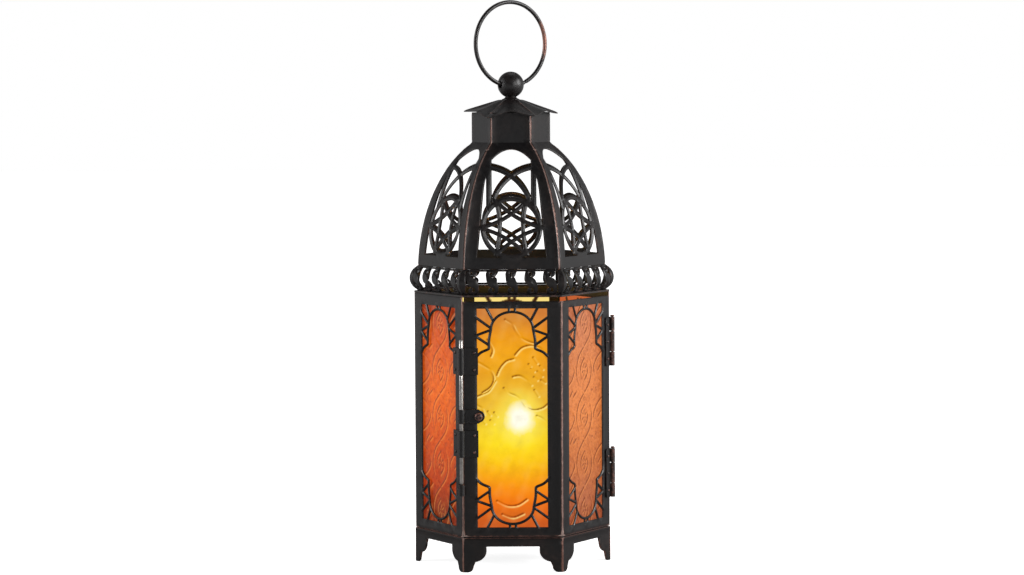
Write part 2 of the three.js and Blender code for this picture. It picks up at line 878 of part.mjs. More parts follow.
function add(name, body, look, turned = 0) {
  const mesh = body.getMesh();
  const geometry = new THREE.BufferGeometry();
  geometry.setAttribute('position', new THREE.BufferAttribute(mesh.vertProperties, 3));
  geometry.setIndex(new THREE.BufferAttribute(mesh.triVerts, 1));
  geometry.computeVertexNormals();
  const part = new THREE.Mesh(geometry, new THREE.MeshStandardMaterial(finishes[look]));
  part.name = name;
  part.rotation.z = turned;
  lantern.add(part);
}

// Sixths, counted anticlockwise from the front wall.
const sixths = ['front', 'right_front', 'right_back', 'back', 'left_back', 'left_front'];
const turnOf = (i) => i * 2 * halfSide;

add('base_skirt', makeSkirt(), 'copperEdge');
add('floor_pan', makePan(), 'blackened');

const fixedWall = makeWall(wallBottom, wallTop);
const doorWall = makeWall(doorBottom, doorTop);
const pane = makePane();
const beadSixth = makeBead();
const gore = makeGore();

sixths.forEach((where, i) => {
  const onDoor = i < 2;
  add(onDoor ? `door_panel_${where}` : `wall_${where}`, onDoor ? doorWall : fixedWall, 'blackened', turnOf(i));
  add(onDoor ? `door_pane_${where}` : `pane_${where}`, pane, i === 0 ? 'amberGlass' : 'redGlass', turnOf(i));
  add(`bead_${where}`, beadSixth, 'blackenedDark', turnOf(i));
  add(`dome_gore_${where}`, gore, 'blackened', turnOf(i));
});

add('top_frame', makeFrame(), 'blackened');
add('roof_cap', makeCap(), 'blackened');
add('finial_ball', makeBall(), 'blackenedDark');
add('finial_washer', makeWasher(), 'plated');
add('finial_nut', makeNut(), 'plated');
add('hang_ring', makeRing(), 'worn');

['lower', 'upper'].forEach((where, i) => {
  const height = i ? doorTop - hinge.drop : doorBottom + hinge.rise;
  add(`hinge_leaf_door_${where}`, makeLeaf(height, -1), 'blackenedDark');
  add(`hinge_leaf_frame_${where}`, makeLeaf(height, 1), 'blackenedDark');
  add(`hinge_pin_${where}`, makePin(height), 'worn');
  add(`bolt_strap_${where}`, makeStrap(strapMiddle + (i ? 1 : -1) * bolt.strapSpread), 'blackened');
});

add('bolt_keeper', makeKeeper(), 'blackened');
add('bolt_rod', makeRod(), 'plated');
add('bolt_handle', makeHandle(), 'worn');
add('candle_cup', makeCup(), 'plated');
add('cup_rivet', makeRivet(), 'plated');
add('candle', makeCandle(), 'wax');
add('wick', makeWick(), 'charred');

export default lantern;
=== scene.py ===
import bpy
import json
import math
import numpy as np
from mathutils import Matrix, Vector
from mathutils.geometry import delaunay_2d_cdt


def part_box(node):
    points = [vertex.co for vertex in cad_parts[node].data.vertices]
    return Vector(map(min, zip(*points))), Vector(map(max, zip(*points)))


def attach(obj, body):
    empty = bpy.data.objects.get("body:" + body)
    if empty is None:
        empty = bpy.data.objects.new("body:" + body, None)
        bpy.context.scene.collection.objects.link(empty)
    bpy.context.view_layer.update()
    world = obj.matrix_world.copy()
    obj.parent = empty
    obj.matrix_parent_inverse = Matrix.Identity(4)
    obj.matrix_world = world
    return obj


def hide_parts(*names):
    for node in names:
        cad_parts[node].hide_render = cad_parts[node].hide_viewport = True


# Hexagonal candle lantern. Shapes are worked out in millimetres and turned into metres when a mesh is made.

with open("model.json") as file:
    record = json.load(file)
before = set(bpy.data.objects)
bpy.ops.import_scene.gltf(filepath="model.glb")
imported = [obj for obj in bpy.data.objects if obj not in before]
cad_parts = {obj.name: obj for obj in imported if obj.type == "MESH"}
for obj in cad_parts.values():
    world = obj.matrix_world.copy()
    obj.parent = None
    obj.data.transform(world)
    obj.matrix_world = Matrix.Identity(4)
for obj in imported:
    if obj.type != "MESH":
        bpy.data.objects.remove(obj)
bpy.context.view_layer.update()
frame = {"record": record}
mm = 0.001
bodyOf = {n: body for body, nodes in frame["record"]["behaviour"]["bodies"].items() for n in nodes}
sides = ["front", "right_front", "right_back", "back", "left_back", "left_front"]
flat = math.cos(math.pi / 6)   # apothem over corner radius
slant = math.tan(math.pi / 6)   # half a side over apothem


def levels(node):
    low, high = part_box(node)
    return low.z / mm, high.z / mm


def arcPoints(x, y, rx, ry, start, end, steps):
    return [(x + rx * math.cos(a), y + ry * math.sin(a))
            for a in np.radians(np.linspace(start, end, steps + 1))]


def ringPoints(x, y, radius, steps=32):
    return arcPoints(x, y, radius, radius, 0, 360, steps)[:-1]


def mirrored(points):
    return [(-x, y) for x, y in reversed(points)]


def stripPoints(line, width):
    # a bar of even width along a line; width may be one number or one for each point
    p = np.array(line, float)
    run = np.diff(p, axis=0)
    run /= np.linalg.norm(run, axis=1)[:, None]
    normal = np.column_stack([-run[:, 1], run[:, 0]])
    before = np.vstack([normal[:1], normal])
    after = np.vstack([normal, normal[-1:]])
    middle = before + after
    middle /= np.linalg.norm(middle, axis=1)[:, None]
    reach = (np.asarray(width) / 2 / np.clip((middle * before).sum(1), 0.5, 1))[:, None]
    return [tuple(q) for q in np.vstack([p + middle * reach, (p - middle * reach)[::-1]])]


def smoothLine(points, steps=6):
    p = np.array([points[0], *points, points[-1]], float)
    out = []
    for i in range(len(points) - 1):
        a, b, c, d = p[i:i + 4]
        for t in np.arange(steps) / steps:
            out.append(0.5 * (2 * b + (c - a) * t + (2 * a - 5 * b + 4 * c - d) * t ** 2
                              + (3 * b - a - 3 * c + d) * t ** 3))
    return [tuple(q) for q in out] + [tuple(points[-1])]


def insidePolygon(points, polygon):
    x, y = points[:, 0], points[:, 1]
    hit = np.zeros(len(points), bool)
    q = np.array(polygon, float)
    for (ax, ay), (bx, by) in zip(q, np.roll(q, -1, 0)):
        if ay != by:
            crosses = (ay > y) != (by > y)
            hit ^= crosses & (x < (bx - ax) * (y - ay) / (by - ay) + ax)
    return hit


def isSolid(points, layers):
    # layers are painted in turn: True lays metal down, False cuts it away
    solid = np.zeros(len(points), bool)
    for lays, polygon in layers:
        solid[insidePolygon(points, polygon)] = lays
    return solid


def triangulated(points, edges):
    verts, _, tris, origins, *_ = delaunay_2d_cdt([Vector(p) for p in points], edges, [], 0, 1e-4)
    xy = np.array([tuple(v) for v in verts])
    tris = np.array(tris)
    a, b, c = (xy[tris[:, i]] for i in range(3))
    area = (b[:, 0] - a[:, 0]) * (c[:, 1] - a[:, 1]) - (b[:, 1] - a[:, 1]) * (c[:, 0] - a[:, 0])
    tris[area < 0] = tris[area < 0][:, ::-1]
    return xy, tris[np.abs(area) > 1e-9], origins


def loopEdges(base, count):
    return [(base + i, base + (i + 1) % count) for i in range(count)]


def outlinesOf(layers):
    coords, edges = [], []
    for _, polygon in layers:
        edges += loopEdges(len(coords), len(polygon))
        coords += list(polygon)
    xy, tris, _ = triangulated(coords, edges)
    tris = tris[isSolid(xy[tris].mean(1), layers)]
    directed = {(a, b) for t in tris.tolist() for a, b in zip(t, t[1:] + t[:1])}
    follow = {}
    for a, b in directed:
        if (b, a) not in directed:
            follow.setdefault(a, []).append(b)
    loops = []
    while follow:
        start = next(iter(follow))
        loop, at = [start], follow[start].pop()
        before = start
        while at != start:
            loop.append(at)
            choices = follow[at]
            if len(choices) > 1:   # where two outlines touch, keep to this one
                came = xy[at] - xy[before]
                turn = [math.atan2(came[0] * g[1] - came[1] * g[0], came @ g)
                        for g in (xy[c] - xy[at] for c in choices)]
                choices.insert(0, choices.pop(int(np.argmax(turn))))
                before, at = at, choices.pop(0)
            else:
                before, at = at, choices.pop()
        follow = {k: v for k, v in follow.items() if v}
        loops.append(xy[loop])
    return loops


def areaOf(loop):
    x, y = loop[:, 0], loop[:, 1]
    return (x @ np.roll(y, -1) - y @ np.roll(x, -1)) / 2


def stepped(a, b, step):
    n = max(1, math.ceil(np.linalg.norm(b - a) / step))
    return [a + (b - a) * k / n for k in range(n)]


def evenedOut(loop, step, least=0.12):
    kept = [loop[0]]
    for p in loop[1:]:
        if np.linalg.norm(p - kept[-1]) > least:
            kept.append(p)
    if len(kept) > 3 and np.linalg.norm(kept[0] - kept[-1]) <= least:
        kept.pop()
    return np.array([p for a, b in zip(kept, kept[1:] + kept[:1]) for p in stepped(a, b, step)])


def evenedLine(line, step):
    p = [np.array(q) for q in line]
    return [q for a, b in zip(p, p[1:]) for q in stepped(a, b, step)] + [p[-1]]


def insetLoop(loop, distance):
    back = loop - np.roll(loop, 1, 0)
    ahead = np.roll(back, -1, 0)
    back, ahead = (v / np.linalg.norm(v, axis=1)[:, None] for v in (back, ahead))
    n1, n2 = (np.column_stack([-v[:, 1], v[:, 0]]) for v in (back, ahead))
    middle = n1 + n2
    middle /= np.maximum(np.linalg.norm(middle, axis=1), 1e-6)[:, None]
    return loop + middle * (distance / np.clip((middle * n1).sum(1), 0.6, 1))[:, None]


def gapTo(points, loops):
    gap = np.full(len(points), 1e9)
    for loop in loops:
        for a, b in zip(loop, np.roll(loop, -1, 0)):
            run = b - a
            t = np.clip(((points - a) @ run) / (run @ run), 0, 1)
            gap = np.minimum(gap, np.linalg.norm(points - a - t[:, None] * run, axis=1))
    return gap


sheetRule = {"sliver": 0.05, "crestStep": 0.7, "crestClear": 0.3, "fieldClear": 0.7, "apart": 0.9, "thin": 2,
             "bevelRow": 0.4}
sheetWear = {"crest": 0.4, "rim": 0.9, "side": 0.1, "front": 0.5, "back": 0.3}


def sheetMetal(layers, thick, place, chamfer=0.14, step=2.2, grid=2.4, ridges=(), rise=0.35):
    # points, faces and wear of a sheet cut to layers
    # place(x, y, depth) bends it, and ridges are lines pressed up
    rule, worn = sheetRule, sheetWear
    loops = [evenedOut(loop, step) for loop in outlinesOf(layers) if abs(areaOf(loop)) > rule["sliver"]]
    inner = [insetLoop(loop, chamfer) for loop in loops]
    coords = [tuple(p) for loop in inner for p in loop]
    edges, base = [], 0
    for loop in inner:
        edges += loopEdges(base, len(loop))
        base += len(loop)
    crest = [p for line in ridges for p in evenedLine(line, rule["crestStep"])]
    low, high = np.min(coords, 0), np.max(coords, 0)
    field = [(x, y) for x in np.arange(low[0] + grid / 2, high[0], grid)
             for y in np.arange(low[1] + grid / 2, high[1], grid)]
    extra, height = [], []
    for group, lift, clear in ((crest, rise, rule["crestClear"]), (field, 0.0, rule["fieldClear"])):
        if not len(group):
            continue
        p = np.array(group, float)
        good = isSolid(p, layers) & (gapTo(p, loops) > clear)
        if group is field and len(crest):
            c = np.array(crest)
            good &= np.array([np.min(np.linalg.norm(c - q, axis=1)) > rule["apart"] for q in p])
        extra += [tuple(q) for q in p[good]]
        height += [lift] * int(good.sum())
    xy, tris, origins = triangulated(coords + extra, edges)
    centre = xy[tris].mean(1)
    parity = np.zeros(len(tris), bool)
    for loop in inner:
        parity ^= insidePolygon(centre, loop)
    tris = tris[parity]
    lifted = np.zeros(len(xy))
    outOf = {}
    for out, given in enumerate(origins):
        for o in given:
            outOf[o] = out
            if o >= len(coords):
                lifted[out] = height[o - len(coords)]
    ringXy = np.vstack(loops)
    n, m = len(xy), len(ringXy)
    row = chamfer + rule["bevelRow"]
    depths = [chamfer, thick - chamfer]
    if thick >= rule["thin"]:
        depths[1:1] = [row, thick / 2, thick - chamfer - rule["bevelRow"]]
    points = [place(xy[:, 0], xy[:, 1], -lifted), place(xy[:, 0], xy[:, 1], thick - lifted)]
    points += [place(ringXy[:, 0], ringXy[:, 1], np.full(m, d)) for d in depths]
    faces = tris.tolist() + (tris[:, ::-1] + n).tolist()
    base = 0
    for loop in inner:
        for a, b in loopEdges(base, len(loop)):
            fa, fb = outOf.get(a), outOf.get(b)
            if fa is None or fb is None or fa == fb:
                continue
            ring = [(2 * n + m * r + a, 2 * n + m * r + b) for r in range(len(depths))]
            faces.append([fb, fa, *ring[0]])
            faces += [[ob, oa, ia, ib] for (oa, ob), (ia, ib) in zip(ring, ring[1:])]
            faces.append([ring[-1][1], ring[-1][0], n + fa, n + fb])
        base += len(loop)
    wear = [np.where(lifted > 0, worn["crest"], 0.0), np.zeros(n)]
    wear += [np.full(m, worn["rim"] if k in (0, len(depths) - 1) else worn["side"])
             for k in range(len(depths))]
    wear = np.concatenate(wear)
    for i in range(len(coords)):
        if i in outOf:
            wear[outOf[i]] = worn["front"]
            wear[n + outOf[i]] = worn["back"]
    return np.vstack(points), faces, wear


def lathe(profile, steps=64, x=0, y=0):
    # a profile (radius, height, wear) turned about an upright axis
    # it starts and ends on the axis or closes on itself
    angles = np.radians(np.arange(steps) * 360 / steps)
    points, rows, wear = [], [], []
    for r, z, w in profile:
        if r < 1e-6:
            rows.append([len(points)] * steps)
            points.append((x, y, z))
            wear.append(w)
        else:
            rows.append(list(range(len(points), len(points) + steps)))
            points += [(x + r * math.cos(a), y + r * math.sin(a), z) for a in angles]
            wear += [w] * steps
    if profile[0][0] > 1e-6:
        rows.append(rows[0])
    faces = []
    for low, high in zip(rows, rows[1:]):
        for i in range(steps):
            j = (i + 1) % steps
            face = []
            for v in (low[i], low[j], high[j], high[i]):
                if v not in face:
                    face.append(v)
            if len(face) > 2:
                faces.append(face)
    return np.array(points), faces, np.array(wear)


def tube(path, radius, around=14, wear=0.2):
    p = np.array(path, float)
    n = len(p)
    run = np.gradient(p, axis=0)
    run /= np.linalg.norm(run, axis=1)[:, None]
    side = np.cross(run[0], [0.3, 0.1, 1.0])
    side /= np.linalg.norm(side)
    points, radii = [], np.broadcast_to(radius, n)
    for i in range(n):
        side = side - run[i] * (side @ run[i])
        side /= np.linalg.norm(side)
        other = np.cross(run[i], side)
        for k in range(around):
            a = 2 * math.pi * k / around
            points.append(p[i] + radii[i] * (side * math.cos(a) + other * math.sin(a)))
    faces = []
    for i in range(n - 1):
        a, b = i * around, (i + 1) * around
        faces += [[a + k, a + (k + 1) % around, b + (k + 1) % around, b + k] for k in range(around)]
    faces += [list(range(around))[::-1], [(n - 1) * around + k for k in range(around)]]
    return np.array(points), faces, np.full(len(points), wear)


def joined(*parts):
    points, faces, wear, base = [], [], [], 0
    for p, f, w in parts:
        points.append(p)
        faces += [[i + base for i in face] for face in f]
        wear.append(w)
        base += len(p)
    return np.vstack(points), faces, np.concatenate(wear)


def turned(part, degrees):
    a = math.radians(degrees)
    spin = np.array([[math.cos(a), -math.sin(a), 0], [math.sin(a), math.cos(a), 0], [0, 0, 1]])
    return part[0] @ spin.T, part[1], part[2]


def plateUp(top):
    # lays a sheet flat, its face up at height top
    return lambda x, y, d: np.column_stack([x, y, top - d])


def edgeWearAndHighlight(part, edgeAt, within=0.45, amount=1.3):
    # rubbed along the corner where two faces meet; the high wear also paints a bright highlight line there
    p, f, w = part
    near = edgeAt(p[:, 2]) - np.abs(p[:, 0]) < within
    return p, f, np.where(near & (w > 0.2), amount, w)


class Wire:
    # what a node gives out; it can be added to, taken from and multiplied like a number
    def __init__(self, tree, socket):
        self.tree, self.socket = tree, socket

    def math(self, operation, other=0.0):
        return wired(self.tree, "ShaderNodeMath", 0, {"operation": operation}, i0=self, i1=other)

    def __add__(self, other):
        return self.math("ADD", other)

    def __sub__(self, other):
        return self.math("SUBTRACT", other)

    def __mul__(self, other):
        return self.math("MULTIPLY", other)


def setInputs(node, **inputs):
    # i0, i1 and so on are inputs by number, other names have _ for a space
    for key, value in inputs.items():
        numbered = key[0] == "i" and key[1:].isdigit()
        socket = node.inputs[int(key[1:]) if numbered else key.replace("_", " ")]
        if isinstance(value, Wire):
            value.tree.links.new(value.socket, socket)
        else:
            socket.default_value = value


def wired(tree, kind, out=0, settings=None, **inputs):
    node = tree.nodes.new(kind)
    for key, value in (settings or {}).items():
        setattr(node, key, value)
    setInputs(node, **inputs)
    return Wire(tree, node.outputs[out])


def newMaterial(name):
    made = bpy.data.materials.new(name)
    made.use_nodes = True
    tree = made.node_tree
    return made, tree.nodes["Principled BSDF"], wired(tree, "ShaderNodeTexCoord", "Object")


def axesOf(vector):
    split = wired(vector.tree, "ShaderNodeSeparateXYZ", 0, Vector=vector).socket.node
    return [Wire(vector.tree, out) for out in split.outputs]


def attributeOf(where, name, out="Fac"):
    return wired(where.tree, "ShaderNodeAttribute", out, {"attribute_name": name})


def noiseOf(where, scale, detail=4, rough=0.55):
    return wired(where.tree, "ShaderNodeTexNoise", "Fac", Vector=where, Scale=scale, Detail=detail,
                 Roughness=rough)


def ranged(value, low, high, outLow=0.0, outHigh=1.0):
    return wired(value.tree, "ShaderNodeMapRange", 0, i0=value, i1=low, i2=high, i3=outLow, i4=outHigh)


def blended(share, a, b, mode="MIX"):
    tree = next(v.tree for v in (share, a, b) if isinstance(v, Wire))
    return wired(tree, "ShaderNodeMix", 2, {"data_type": "RGBA", "blend_type": mode}, i0=share, i6=a, i7=b)


def bumpOf(height, strength, distance):
    return wired(height.tree, "ShaderNodeBump", 0, Strength=strength, Distance=distance, Height=height)


def rampOf(value, stops):
    made = wired(value.tree, "ShaderNodeValToRGB", 0, i0=value)
    elements = made.socket.node.color_ramp.elements
    while len(elements) < len(stops):
        elements.new(0.5)
    for element, (at, colour) in zip(elements, stops):
        element.position = at
        element.color = rgba(colour)
    return made


def linear(r, g, b):
    return tuple((c / 255 / 12.92) if c <= 10 else ((c / 255 + 0.055) / 1.055) ** 2.4 for c in (r, g, b))


def rgba(colour):
    return (*colour, 1)


def shade(r, g, b):
    return rgba(linear(r, g, b))


def grey(level):
    return rgba((level,) * 3)


paintLook = {
    "black": shade(15, 13, 14),
    "brown": shade(40, 27, 23),
    "rubbed": shade(140, 98, 86),
    # bare metal, which also serves as a painted highlight on edges
    "bareAndHighlight": shade(186, 164, 156),
}


def paintedMetal(name, rubAt=0.98, brownShare=0.5, rough=0.36):
    # black paint over brown primer, rubbed through to copper where the wear value and the grain meet
    made, shader, where = newMaterial(name)
    broad = noiseOf(where, 55, 3)
    grain = noiseOf(where, 420, 6, 0.7)
    fine = noiseOf(where, 1900, 4, 0.6)
    worn = attributeOf(where, "wear")
    patch = ranged(broad, 0.42, 0.66) * ranged(grain, 0.36, 0.62)
    body = blended(patch * brownShare, paintLook["black"], paintLook["brown"])
    rub = ranged(worn * 0.62 + grain * 0.55 + broad * 0.25, rubAt, rubAt + 0.16)
    halo = ranged(worn * 0.6 + grain * 0.4, 0.5, 0.95)
    body = blended(halo * 0.7, body, paintLook["brown"])
    colour = blended(rub, body, paintLook["rubbed"])
    # the highest wear shows bare metal, and this light colour also stands in for the bright highlight lines
    # along edges
    bareAndHighlight = ranged(worn + grain * 0.5, 1.35, 1.65)
    setInputs(shader, Base_Color=blended(bareAndHighlight, colour, paintLook["bareAndHighlight"]), Metallic=rub * 0.75,
              Roughness=ranged(grain, 0.3, 0.7, rough - 0.07, rough + 0.12),
              Normal=bumpOf(fine + grain, 0.22, 0.00012))
    return made


def platedMetal(name, colour, rough=0.34):
    made, shader, where = newMaterial(name)
    grain = noiseOf(where, 300, 5, 0.65)
    stain = noiseOf(where, 70, 3)
    dark = tuple(c * 0.45 for c in colour)
    tone = blended(ranged(grain * stain, 0.16, 0.36), rgba(colour), rgba(dark))
    setInputs(shader, Base_Color=tone, Metallic=0.9,
              Roughness=ranged(grain, 0.3, 0.7, rough - 0.08, rough + 0.16),
              Normal=bumpOf(grain, 0.15, 0.0001))
    return made


def waxLook():
    made, shader, where = newMaterial("ivoryWax")
    cloud = noiseOf(where, 60, 4)
    fine = noiseOf(where, 700, 3)
    tone = rampOf(cloud, [(0.3, linear(238, 222, 190)), (0.6, linear(246, 234, 208)),
                          (0.8, linear(250, 240, 220))])
    paintedFlameGlow = ranged(axesOf(where)[2], 0.045, 0.07)   # painted glow: the wax below the flame is painted warmer and given emission, standing in for the flame's light
    setInputs(shader, Base_Color=blended(paintedFlameGlow * 0.7, tone, shade(255, 214, 140)),
              Emission_Color=blended(paintedFlameGlow, grey(0.0), shade(255, 170, 60)), Emission_Strength=0.55,
              Subsurface_Weight=0.25, Subsurface_Radius=(0.006, 0.003, 0.0015),
              Roughness=ranged(fine, 0.3, 0.7, 0.38, 0.55), Normal=bumpOf(cloud + fine, 0.15, 0.0002))
    return made


def charredLook():
    made, shader, where = newMaterial("charredCotton")
    twist = wired(where.tree, "ShaderNodeTexWave", "Fac", {"bands_direction": "DIAGONAL"}, Vector=where,
                  Scale=900, Distortion=2.0)
    burnt = ranged(axesOf(where)[2], 0.066, 0.0695)
    pale = blended(twist, shade(150, 130, 100), shade(190, 170, 135))
    black = blended(twist, shade(18, 14, 12), shade(40, 32, 28))
    setInputs(shader, Base_Color=blended(burnt, pale, black), Roughness=0.9,
              Normal=bumpOf(twist, 0.5, 0.0002))
    return made


def flameLook():
    made, shader, where = newMaterial("candleFlame")
    up = ranged(axesOf(where)[2], 0.0695, 0.094)
    flicker = up + noiseOf(where, 120, 2) * 0.08
    tone = rampOf(flicker, [(0.0, linear(90, 110, 220)), (0.12, linear(255, 190, 90)),
                            (0.4, linear(255, 240, 190)),
                            (0.75, linear(255, 220, 120)), (1.0, linear(255, 150, 40))])
    setInputs(shader, Base_Color=(1, 0.7, 0.35, 1), Emission_Color=tone, Emission_Strength=3.0, Roughness=1.0)
    return made


# Painted glow: the candle's light through the glass is painted as emission colours, which run from the
# glass's foot, 0, to its head, 1; places are millimetres on the pane.
paintedGlow = {
    "low": 24.0,
    "high": 153.0,
    "middle": 88.6,
    "straight": 38.0,          # above and below the middle by this much the painted darkening towards the corners begins
    "flame": (4.3, 88.4),      # where the painted hot spot of the flame sits on the front pane
    "spread": (13.0, 15.0),
    "front": [(0.03, (200, 94, 30)), (0.115, (240, 116, 10)), (0.182, (248, 142, 6)), (0.25, (250, 175, 8)),
              (0.317, (252, 204, 14)), (0.384, (252, 222, 26)), (0.45, (249, 222, 44)),
              (0.54, (238, 192, 44)), (0.607, (236, 186, 44)), (0.696, (234, 168, 26)),
              (0.786, (242, 166, 14)), (0.875, (234, 152, 18)), (0.964, (206, 134, 56))],
    "side": [(0.03, (118, 48, 22)), (0.18, (180, 60, 16)), (0.36, (208, 78, 14)), (0.585, (236, 104, 18)),
             (0.86, (212, 84, 18)), (0.97, (190, 72, 30))],
    "pale": [(0.03, (166, 92, 60)), (0.14, (184, 106, 68)), (0.27, (200, 114, 62)), (0.5, (228, 134, 70)),
             (0.72, (222, 132, 74)), (0.92, (208, 128, 88))],
}


def glassLook(name, stops, deep, hot, grainScale, mottle, hammered=0.0, inner=(255, 230, 136)):
    # pressed glass with the candle's light painted in as emission: the painted glow follows height and
    # relief, the gloss comes from the lamps
    made, shader, where = newMaterial(name)
    x, z, slope = axesOf(attributeOf(where, "paneAt", "Vector"))
    grain = noiseOf(where, grainScale, 4, 0.6)
    cloud = noiseOf(where, 60, 3)
    up = ranged(z, paintedGlow["low"], paintedGlow["high"]) + (cloud - 0.5) * (0.03 if hot else 0.08)
    tone = rampOf(up, [(at, linear(*c)) for at, c in stops])
    # painted shade: the glow is painted darker towards the pane's sides and corners
    cornerward = ((z - paintedGlow["middle"]).math("ABSOLUTE") - paintedGlow["straight"]).math("MAXIMUM")
    edge = ranged(x.math("ABSOLUTE") + cornerward * 0.45, 10.0, 25.0)
    tone = blended(edge * deep, tone, shade(205, 62, 22) if hot else shade(128, 38, 20))
    if hot:
        # painted light: the flame's hot spot, yellow with a white core, is painted on the glass where the
        # flame shows
        dx, dz = ((v - at).math("DIVIDE", wide) for v, at, wide in zip((x, z), paintedGlow["flame"], paintedGlow["spread"]))
        far = (dx * dx + dz * dz).math("SQRT") + (grain - 0.5) * 0.35
        tone = blended(ranged(far, 1.25, 0.35), tone, shade(255, 238, 90))
        tone = blended(ranged(far, 0.72, 0.3), tone, shade(255, 255, 235))
    mottling = rampOf(ranged(grain, 0.3, 0.7), [(0.0, (0.55, 0.4, 0.3)), (0.5, (1, 1, 1)),
            (1.0, (1.2, 1.2, 1.1))])
    tone = blended(mottle, tone, mottling, "MULTIPLY")
    # painted shade and highlight: by the relief's slope towards the upper left, one way is painted dark and
    # the other way lit
    tone = blended(ranged(slope, 0.0, -1.0) * 0.85, tone, shade(112, 46, 8))
    lit, share = (shade(255, 240, 150), 0.6) if hot else (shade(255, 172, 96), 0.32)
    tone = blended(ranged(slope, 0.0, 1.0) * share, tone, lit)
    # painted light: the inner face is painted a warm glow, strongest low down and fading upwards
    inside = blended(ranged(z, 60.0, 148.0, 0.62, 0.1), shade(*inner), tone)
    # painted shadow of the window bars on the inner face
    inside = blended(attributeOf(where, "barShade"), inside, shade(44, 20, 8))
    setInputs(shader, Emission_Color=blended(attributeOf(where, "inward"), tone, inside),
              Emission_Strength=1.0,
              Base_Color=blended(grain, shade(30, 9, 2), shade(46, 16, 4)), Roughness=0.12,
              Specular_IOR_Level=0.2, IOR=1.5,
              Normal=bumpOf(grain * (1.0 + hammered) + cloud, 0.35 + 0.4 * hammered, 0.0004))
    return made


materials = {
    "blackened_sheet": paintedMetal("blackenedSheet"),
    "rubbed_copper": paintedMetal("rubbedBase", rubAt=0.92, brownShare=0.7),
    "worn_black": paintedMetal("wornWire", rubAt=0.88, brownShare=0.5, rough=0.3),
    "plated_steel": platedMetal("platedSteel", linear(196, 192, 188)),
    "wax": waxLook(),
    "charred": charredLook(),
    "flame": flameLook(),
    "amber_glass": glassLook("amberGlass", paintedGlow["front"], 0.22, True, 260, 0.12),
    "red_glass": glassLook("redGlass", paintedGlow["side"], 0.7, False, 520, 0.6),
    "pale_glass": glassLook("paleGlassGlow", paintedGlow["pale"], 0.35, False, 620, 0.65, hammered=1.0,
                            inner=(188, 84, 40)),
}
slotOf = {s["node"]: s["material_slot"] for s in frame["record"]["subparts"]}
print("finishes made")


def putIn(name, data):
    made = bpy.data.objects.new(name, data)
    bpy.context.scene.collection.objects.link(made)
    return made


def newMesh(name, points, faces):
    mesh = bpy.data.meshes.new(name)
    mesh.from_pydata((np.asarray(points) * mm).tolist(), [], faces)
    return mesh


def smoothed(mesh, sharp):
    mesh.polygons.foreach_set("use_smooth", np.ones(len(mesh.polygons), bool))
    mesh.set_sharp_from_angle(angle=math.radians(sharp))


def addPiece(name, part, stands, look=None, body=None, sharp=38, extra=None):
    points, faces, wear = part
    mesh = newMesh(name, points, faces)
    mesh.update()
    smoothed(mesh, sharp)
    for key, values in {"wear": wear, **(extra or {})}.items():
        values = np.asarray(values, np.float32)
        kind, field = ("FLOAT", "value") if values.ndim == 1 else ("FLOAT_VECTOR", "vector")
        mesh.attributes.new(key, kind, "POINT").data.foreach_set(field, values.ravel())
    slot = slotOf[stands[0]] if stands else None
    mesh.materials.append(materials[look or slot])
    piece = putIn(name, mesh)
    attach(piece, body or bodyOf[stands[0]])
    if stands:
        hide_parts(*stands)
    return piece


# The skirt and its six feet: one side is made and turned.
skirt = {"corner": 57.2, "wall": 1.0, "arch": 14.8, "toe": 5.6, "toeRound": 3.2, "lobeWidth": 7.6,
         "lobeHeight": 6.4, "lobeDrop": 2.5, "lip": 0.45, "lipIn": 1.2, "lipDown": 0.7, "rubbed": 1.6}


def makeSkirt():
    s = skirt
    top = levels("base_skirt")[1]
    face = s["corner"] * flat
    corner = s["corner"] / 2
    side = corner - s["toe"]
    lobeTop = s["arch"] - s["lobeDrop"]
    toe = s["toeRound"]
    right = [(corner, 0), *arcPoints(side + toe, toe, toe, toe, 270, 180, 8),
             *arcPoints(side, lobeTop, s["lobeWidth"], s["lobeHeight"], 270, 180, 10)[1:],
             (side - s["lobeWidth"], s["arch"])]
    outline = [(corner, top)] + right + mirrored(right) + [(-corner, top)]
    lip = [(-corner + s["lipIn"], top - s["lipDown"]), (corner - s["lipIn"], top - s["lipDown"])]

    def place(x, z, d):
        return np.column_stack([x * (1 - d / face), -(face - d), z])

    one = sheetMetal([(True, outline[::-1])], s["wall"], place, chamfer=0.18, ridges=[lip], rise=s["lip"])
    p, f, w = edgeWearAndHighlight(one, lambda z: corner, amount=1.2)
    one = (p, f, w + 0.25 * (p[:, 2] > top - s["rubbed"]))
    return joined(*[turned(one, 60 * i) for i in range(6)])


addPiece("footedBase", makeSkirt(), ["base_skirt"])
print("base made")


# Glazed walls; the first two are the door. The bent tabs and the shelf of grip hold each pane.
wall = {"corner": 56.9, "sheet": 0.8, "stile": 8.15, "bar": 1.5, "archInset": 8.2, "cuspInset": 7.0,
        "flare": 27.8, "cusp": 22.3, "spring": 11.8, "shoulder": 5.8, "crown": 1.9, "sill": 25.9,
        "head": 151.3, "lap": 2.0}
seam = {"closed": 0.03, "running": 0.15}   # half the gap at a corner: soldered, or free to turn
hem = {"sideIn": 1.5, "endIn": 1, "levelIn": 0.8, "levelEnd": 1.6, "rise": 0.3, "worn": 1.1, "crest": 0.12}
rubbedFoot = {"high": 5.0, "worn": 0.55}
grip = {"clear": 0.3, "into": 0.1, "sheet": 0.8, "inside": 2.8, "outside": 3.6, "hook": 2.6, "tabHigh": 9,
        "shelfWide": 12, "shelfLip": 2}
wallFace = wall["corner"] * flat
openingHalf = wall["corner"] / 2 - wall["stile"]
openingMiddle = (wall["sill"] + wall["head"]) / 2


def quarterOf(points, sideways, upright):
    half = (wall["head"] - wall["sill"]) / 2
    return [(x * sideways, openingMiddle + (half - down) * upright) for x, down in points]


